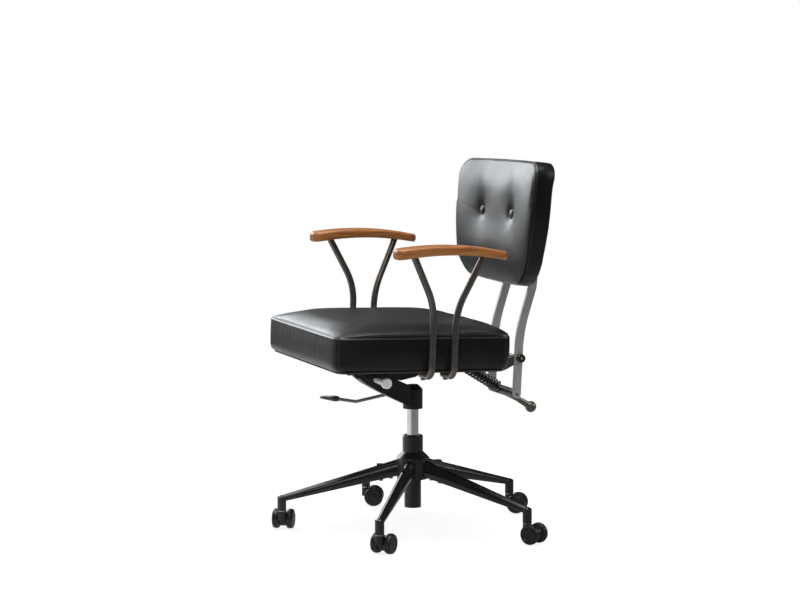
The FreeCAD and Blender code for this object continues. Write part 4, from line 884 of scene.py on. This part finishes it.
def back_shell():
    """The back cover's mesh before it is filled, with its rings and its panels' indices."""
    shell = Shell(shares(60), shares(42))

    def front(u, v):
        x, z = back_outline(u, v, SEAM_INSET)
        y = swept(x, SEAM_DEPTH)
        if max(abs(u), abs(v)) < 1:
            y -= back_crown(x, z)
        return BACK @ Vector((x, y, z))

    def rear(u, v):
        x, z = back_outline(u, v, REAR_INSET)
        rim = max(abs(u), abs(v)) ** 14
        y = swept(x, 0) - 0.0006 + rim * (rear_roll(x, z) - 0.003)
        return BACK @ Vector((x, y, z))

    forward = shell.panel(front, flip=False)
    behind = shell.panel(rear, flip=True)
    rows = []
    for share in BAND_SHARES:
        row = []
        inset = SEAM_INSET - BACK_BAND_SWELL * math.sin(math.pi * share)
        for u, v in shell.rim_shares():
            x, z = back_outline(u, v, inset)
            near = swept(x, SEAM_DEPTH)
            far = swept(x, 0) - 0.0036 + rear_roll(x, z)
            row.append(BACK @ Vector((x, near + (far - near) * share, z)))
        rows.append(row)
    chain = shell.rings(shell.edge(forward), shell.edge(behind), rows)
    return shell, chain, forward, behind


def back_cushion():
    """The back cover: a crowned front with two tufts, a band, and a rear that rolls outward."""
    shell, chain, forward, behind = back_shell()
    piece = new_piece("back_cover", shell.points, shell.faces, SEAT_LEATHER, "back")
    outward(piece)
    vertices = piece.data.vertices
    pinned = set().union(*behind, chain[0], chain[1], chain[-2])
    inward = BACK.to_3x3() @ Vector((0, 1, 0))
    home = BACK.inverted()
    for column in forward:
        for index in column:
            spot = home @ vertices[index].co
            vertices[index].co += inward * tuft(spot.x, spot.z)
            if min(math.hypot(*offset) for offset in button_offsets(spot.x, spot.z)) < BUTTON_HELD:
                pinned.add(index)
    puff(piece, pinned, BACK_PUFF)
    seam = [vertices[index].co.copy() for index in chain[0]]
    rear_seam = [vertices[index].co.copy() for index in chain[-1]]
    subdivided(piece)
    back_folds(piece)
    furrow(piece, [(seam, True), (rear_seam, True)], 0.0017, 0.0019, 0.0005)
    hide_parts("back_cushion")
    rows = [(seam, True, STITCH_OFFSET), (seam, True, -STITCH_OFFSET),
            (rear_seam, True, STITCH_OFFSET)]
    stitches("back_stitching", piece, rows, "back")


def back_folds(piece):
    """Slow unevenness all over, and on the front a pull above each button and one slack fold."""
    mesh = piece.data
    home = BACK.inverted()
    normals = [vertex.normal.copy() for vertex in mesh.vertices]
    for vertex, normal in zip(mesh.vertices, normals):
        spot = home @ vertex.co
        slow = noise.noise(Vector((spot.x * 13, spot.y * 13, spot.z * 9 + 4.4)))
        vertex.co += normal * 0.0008 * slow
        face = eased((-0.012 - (spot.y - swept(spot.x, -BACK_THICK + 0.02))) / 0.01)
        if face <= 0:
            continue
        for across, up in button_offsets(spot.x, spot.z):
            if up > 0:
                lane = math.exp(-(across / (0.010 + 0.10 * up)) ** 2) * math.exp(-(up - 0.02) / 0.055)
                vertex.co -= normal * face * 0.0022 * lane * eased(up / 0.02)
        beyond = -spot.x - BUTTON_X
        over = (spot.x + BUTTON_X) * 0.20 + (spot.z - BUTTON_Z) * 0.98 + 0.008
        run = eased((beyond - 0.012) / 0.02)
        fade = math.exp(-max(0.0, beyond - 0.03) / 0.05)
        vertex.co -= normal * face * 0.0004 * run * fade * math.exp(-(over / 0.0030) ** 2)
    mesh.update()


# Buttons

BUTTON_RADIUS = 0.0126
BUTTON_RISE = 0.0068
BUTTON_SINK = 0.0062
BUTTON_RINGS = 9
BUTTON_CORNERS = 40
PLEATS = 11
PLEAT_DEPTH = 0.018


def button_depth():
    """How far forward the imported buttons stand, in the back rest's frame."""
    home = BACK.inverted()
    found = [home @ vertex.co for vertex in nodes["back_fasteners"].data.vertices]
    return min(spot.y for spot in found
               if math.hypot(abs(spot.x) - BUTTON_X, spot.z - BUTTON_Z) < 0.014)


def button_covers():
    """Domes of gathered leather over the two buttons."""
    rim_depth = button_depth() + BUTTON_SINK
    for side, name in ((1, "left"), (-1, "right")):
        points = []
        for ring in range(BUTTON_RINGS + 1):
            share = ring / BUTTON_RINGS
            bend = share * math.pi / 2
            radius = BUTTON_RADIUS * math.sin(bend * 1.12)
            depth = rim_depth - BUTTON_RISE * math.cos(bend)
            for corner in range(BUTTON_CORNERS):
                turn = math.tau * corner / BUTTON_CORNERS
                pleat = 1 + PLEAT_DEPTH * math.cos(turn * PLEATS + 0.6) * share ** 3
                x = radius * pleat * math.cos(turn) + side * BUTTON_X
                z = radius * pleat * math.sin(turn) + BUTTON_Z
                points.append(BACK @ Vector((x, depth, z)))
        faces = tube_faces(0, BUTTON_RINGS + 1, BUTTON_CORNERS, capped=False)
        new_piece("button_cover_" + name, points, faces, SEAT_LEATHER, "back")


# Turned pieces; a profile is pairs of height along the axis and radius

LATHE_CORNERS = 40
RIVET_PROFILE = [(-0.0016, 0.0031), (0.0002, 0.0031), (0.0007, 0.0025), (0.0010, 0.0014),
                 (0.0011, 0.0003)]
CAP_PROFILE = [(-0.0030, 0.0098), (-0.0010, 0.0098), (-0.0003, 0.0092), (0.0001, 0.0080),
               (0.0004, 0.0050), (0.0005, 0.0004)]
# Axle points lie this close to its line. A cap stands proud of the axle's end, or of a level
# sunk below the wheel's outermost point, whichever is further out.
AXLE_REACH = 0.006
CAP_SINK = 0.004
CAP_PROUD = 0.0006


def lathed(name, profile, centre, axis, body, material):
    """A turned piece, closed at both ends of its profile."""
    axis = Vector(axis).normalized()
    side = axis.orthogonal().normalized()
    other = axis.cross(side)
    points = []
    for height, radius in profile:
        for corner in range(LATHE_CORNERS):
            turn = math.tau * corner / LATHE_CORNERS
            out = side * math.cos(turn) + other * math.sin(turn)
            points.append(Vector(centre) + axis * height + out * radius)
    faces = tube_faces(0, len(profile), LATHE_CORNERS)
    outward(new_piece(name, points, faces, material, body))


def axle_rivets():
    """Small brass rivets in the middle of the black knobs of the recline axle."""
    brass = metal("rivet_brass", (0.72, 0.66, 0.36), 0.24)
    low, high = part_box("pivot_axle")
    middle = (low + high) / 2
    for side, name, outer in ((1, "left", high.x), (-1, "right", low.x)):
        lathed("axle_rivet_" + name, RIVET_PROFILE, (outer, middle.y, middle.z), (side, 0, 0),
               "seat", brass)


def centre_of(name):
    low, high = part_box(name)
    return (low + high) / 2


def wheel_caps():
    """Round covers over the axle ends of the ten wheels."""
    for joint in joints:
        name = joint["name"]
        if not name.endswith("_roll"):
            continue
        number = name.split("_")[1]
        side, other = ("left", "right") if "_left_" in name else ("right", "left")
        wheel = "caster_%s_wheel_%s" % (number, side)
        centre = centre_of(wheel)
        way = (centre - centre_of("caster_%s_wheel_%s" % (number, other))).normalized()
        reach = max((vertex.co - centre).dot(way) for vertex in nodes[wheel].data.vertices)
        axle_end = -reach
        for vertex in nodes["caster_%s_pins" % number].data.vertices:
            offset = vertex.co - centre
            height = offset.dot(way)
            if (offset - way * height).length < AXLE_REACH:
                axle_end = max(axle_end, height)
        top = max(axle_end, reach - CAP_SINK) + CAP_PROUD
        profile = [(top + rise, radius) for rise, radius in CAP_PROFILE]
        lathed("wheel_cap_%s_%s" % (number, side), profile, centre, way,
               joint["child"], LIBRARY["wheel_plastic"])


# Recline spring

ROD_AXIS = Vector((0, 0.852011, -0.523525))
ROD_FOOT = Vector((0, 0.119, 0.404))
COIL_RADIUS = 0.0119
COIL_TURNS = 11
COIL_STEPS = 36
WIRE_RADIUS = 0.0030
WIRE_CORNERS = 10


def recline_spring():
    """Coil of thick black wire round the tension rod."""
    heights = [(vertex.co - ROD_FOOT).dot(ROD_AXIS)
               for vertex in nodes["tension_spring"].data.vertices]
    low, high = min(heights), max(heights)
    side = Vector((1, 0, 0))
    up = side.cross(ROD_AXIS)
    rise = (high - low - 2 * WIRE_RADIUS) / (math.tau * COIL_TURNS)
    points = []
    for step in range(COIL_TURNS * COIL_STEPS + 1):
        turn = math.tau * step / COIL_STEPS
        out = side * math.cos(turn) + up * math.sin(turn)
        round_way = up * math.cos(turn) - side * math.sin(turn)
        way = (round_way * COIL_RADIUS + ROD_AXIS * rise).normalized()
        middle = ROD_FOOT + ROD_AXIS * (low + WIRE_RADIUS + rise * turn) + out * COIL_RADIUS
        for corner in range(WIRE_CORNERS):
            angle = math.tau * corner / WIRE_CORNERS
            spoke = out * math.cos(angle) + way.cross(out) * math.sin(angle)
            points.append(middle + spoke * WIRE_RADIUS)
    faces = tube_faces(0, COIL_TURNS * COIL_STEPS + 1, WIRE_CORNERS)
    body = next(joint["parent"] for joint in joints if joint["name"] == "tension_turn")
    made = new_piece("recline_coil", points, faces, LIBRARY["spring_steel"], body)
    outward(made)
    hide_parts("tension_spring")
    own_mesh(made)


# Floor, backdrop and light

FLOOR_RADIUS = 2.4
FLOOR_LEVEL = -0.0006
# The share of the white that metal and leather mirror grows towards these directions
FLOOR_MIRROR_WAY = (-0.79, -0.61, 0)
WORLD_MIRROR_WAY = (-0.75, -0.58, 0.32)


def combined(tree, operation, first, second):
    """A field worked out from two others."""
    made = node(tree, "ShaderNodeMath", operation=operation)
    tree.links.new(first, made.inputs[0])
    tree.links.new(second, made.inputs[1])
    return made.outputs[0]


def toward(tree, vector, way):
    """How far a vector field runs in a fixed direction."""
    made = node(tree, "ShaderNodeVectorMath", operation="DOT_PRODUCT")
    made.inputs[1].default_value = way
    tree.links.new(vector, made.inputs[0])
    return made.outputs["Value"]


def blend(tree, share, first, second):
    """The first shader where share is 0 and the second where it is 1."""
    made = node(tree, "ShaderNodeMixShader")
    tree.links.new(share, made.inputs["Fac"])
    tree.links.new(first, made.inputs[1])
    tree.links.new(second, made.inputs[2])
    return made.outputs[0]


def plain_shader(tree, kind, grey, **inputs):
    made = node(tree, kind)
    preset(made, {"Color": (grey, grey, grey, 1), **inputs})
    return made.outputs[0]


def floor_shader(tree, shader):
    """White to the camera, with a soft shadow near the chair, and partly white to mirrors."""
    rays = node(tree, "ShaderNodeLightPath").outputs
    place = node(tree, "ShaderNodeTexCoord").outputs["Object"]
    near = node(tree, "ShaderNodeAddShader")
    tree.links.new(plain_shader(tree, "ShaderNodeEmission", 1, Strength=0.84), near.inputs[0])
    tree.links.new(plain_shader(tree, "ShaderNodeBsdfDiffuse", 0.22), near.inputs[1])
    far = plain_shader(tree, "ShaderNodeEmission", 1, Strength=1.0)
    away = node(tree, "ShaderNodeVectorMath", operation="LENGTH")
    tree.links.new(place, away.inputs[0])
    fade = spread(tree, away.outputs["Value"], 0, 1, 0.55, 1.5)
    bright = blend(tree, fade, near.outputs[0], far)
    seen = combined(tree, "MAXIMUM", rays["Is Camera Ray"], rays["Is Transmission Ray"])
    lit = spread(tree, toward(tree, place, FLOOR_MIRROR_WAY), 0.12, 0.75, -0.4, 0.7)
    mirrored = combined(tree, "MULTIPLY", rays["Is Glossy Ray"], lit)
    shown = combined(tree, "MAXIMUM", seen, mirrored)
    dark = plain_shader(tree, "ShaderNodeBsdfDiffuse", 0.1)
    unlit = blend(tree, rays["Is Glossy Ray"], shader.outputs[0], dark)
    return blend(tree, shown, unlit, bright)


def floor():
    work = bmesh.new()
    bmesh.ops.create_circle(work, cap_ends=True, segments=96, radius=FLOOR_RADIUS)
    mesh = bpy.data.meshes.new("floor")
    work.to_mesh(mesh)
    work.free()
    made = bpy.data.objects.new("floor", mesh)
    scene.collection.objects.link(made)
    made.location.z = FLOOR_LEVEL
    material, tree, shader = new_material("floor_pale")
    preset(shader, {"Base Color": (0.82, 0.82, 0.82, 1), "Roughness": 0.9,
                    "Specular IOR Level": 0.0})
    surface = floor_shader(tree, shader)
    tree.links.new(surface, tree.nodes["Material Output"].inputs["Surface"])
    mesh.materials.append(material)


def backdrop():
    """White to the camera, partly white to mirrors, and a plain grey light on the chair."""
    world = bpy.data.worlds.new("studio")
    scene.world = world
    world.use_nodes = True
    tree = world.node_tree
    plain = tree.nodes["Background"]
    preset(plain, {"Color": (0.9, 0.95, 1, 1), "Strength": 0.42})
    rays = node(tree, "ShaderNodeLightPath").outputs
    way = node(tree, "ShaderNodeTexCoord").outputs["Generated"]
    around = spread(tree, toward(tree, way, WORLD_MIRROR_WAY), 0.02, 0.7, 0.45, 1.0)
    apart = node(tree, "ShaderNodeSeparateXYZ")
    tree.links.new(way, apart.inputs[0])
    rising = spread(tree, apart.outputs["Z"], 0.22, 1.0, -0.20, 0.16)
    lit = combined(tree, "MULTIPLY", around, rising)
    mirrored = combined(tree, "MULTIPLY", rays["Is Glossy Ray"], lit)
    seen = combined(tree, "MAXIMUM", rays["Is Camera Ray"], rays["Is Transmission Ray"])
    shown = combined(tree, "MAXIMUM", seen, mirrored)
    white = plain_shader(tree, "ShaderNodeBackground", 1)
    black = plain_shader(tree, "ShaderNodeBackground", 0)
    unlit = blend(tree, rays["Is Glossy Ray"], plain.outputs[0], black)
    surface = blend(tree, shown, unlit, white)
    tree.links.new(surface, tree.nodes["World Output"].inputs["Surface"])


def softbox(name, place, aim, width, height, power, color=(1, 1, 1)):
    """A rectangular lamp at a place, turned to its aim, that the camera doesn't see."""
    data = bpy.data.lights.new(name, "AREA")
    data.shape = "RECTANGLE"
    data.size = width
    data.size_y = height
    data.energy = power
    data.color = color
    made = bpy.data.objects.new(name, data)
    scene.collection.objects.link(made)
    turn = (Vector(aim) - Vector(place)).normalized().to_track_quat("-Z", "Y")
    made.matrix_world = Matrix.Translation(place) @ turn.to_matrix().to_4x4()
    made.visible_camera = False


# The scene

make_camera()
finish_nodes()
seat_cushion()
back_cushion()
button_covers()
axle_rivets()
wheel_caps()
recline_spring()
finish_cross_tube()
floor()
backdrop()
softbox("window_side", (-2.5, -0.8, 1.62), (0, 0, 0.75), 2.1, 1.5, 42, (0.92, 0.97, 1))
softbox("overhead", (0.2, -0.4, 3.0), (0, 0, 0.5), 2.4, 2.0, 92)
softbox("near_side", (3.2, -1.6, 2.6), (0, 0, 0.6), 1.6, 1.2, 16)
softbox("rear_side", (1.2, 2.8, 1.8), (0, 0.1, 0.6), 1.4, 1.2, 24)

scene.view_settings.view_transform = "Standard"
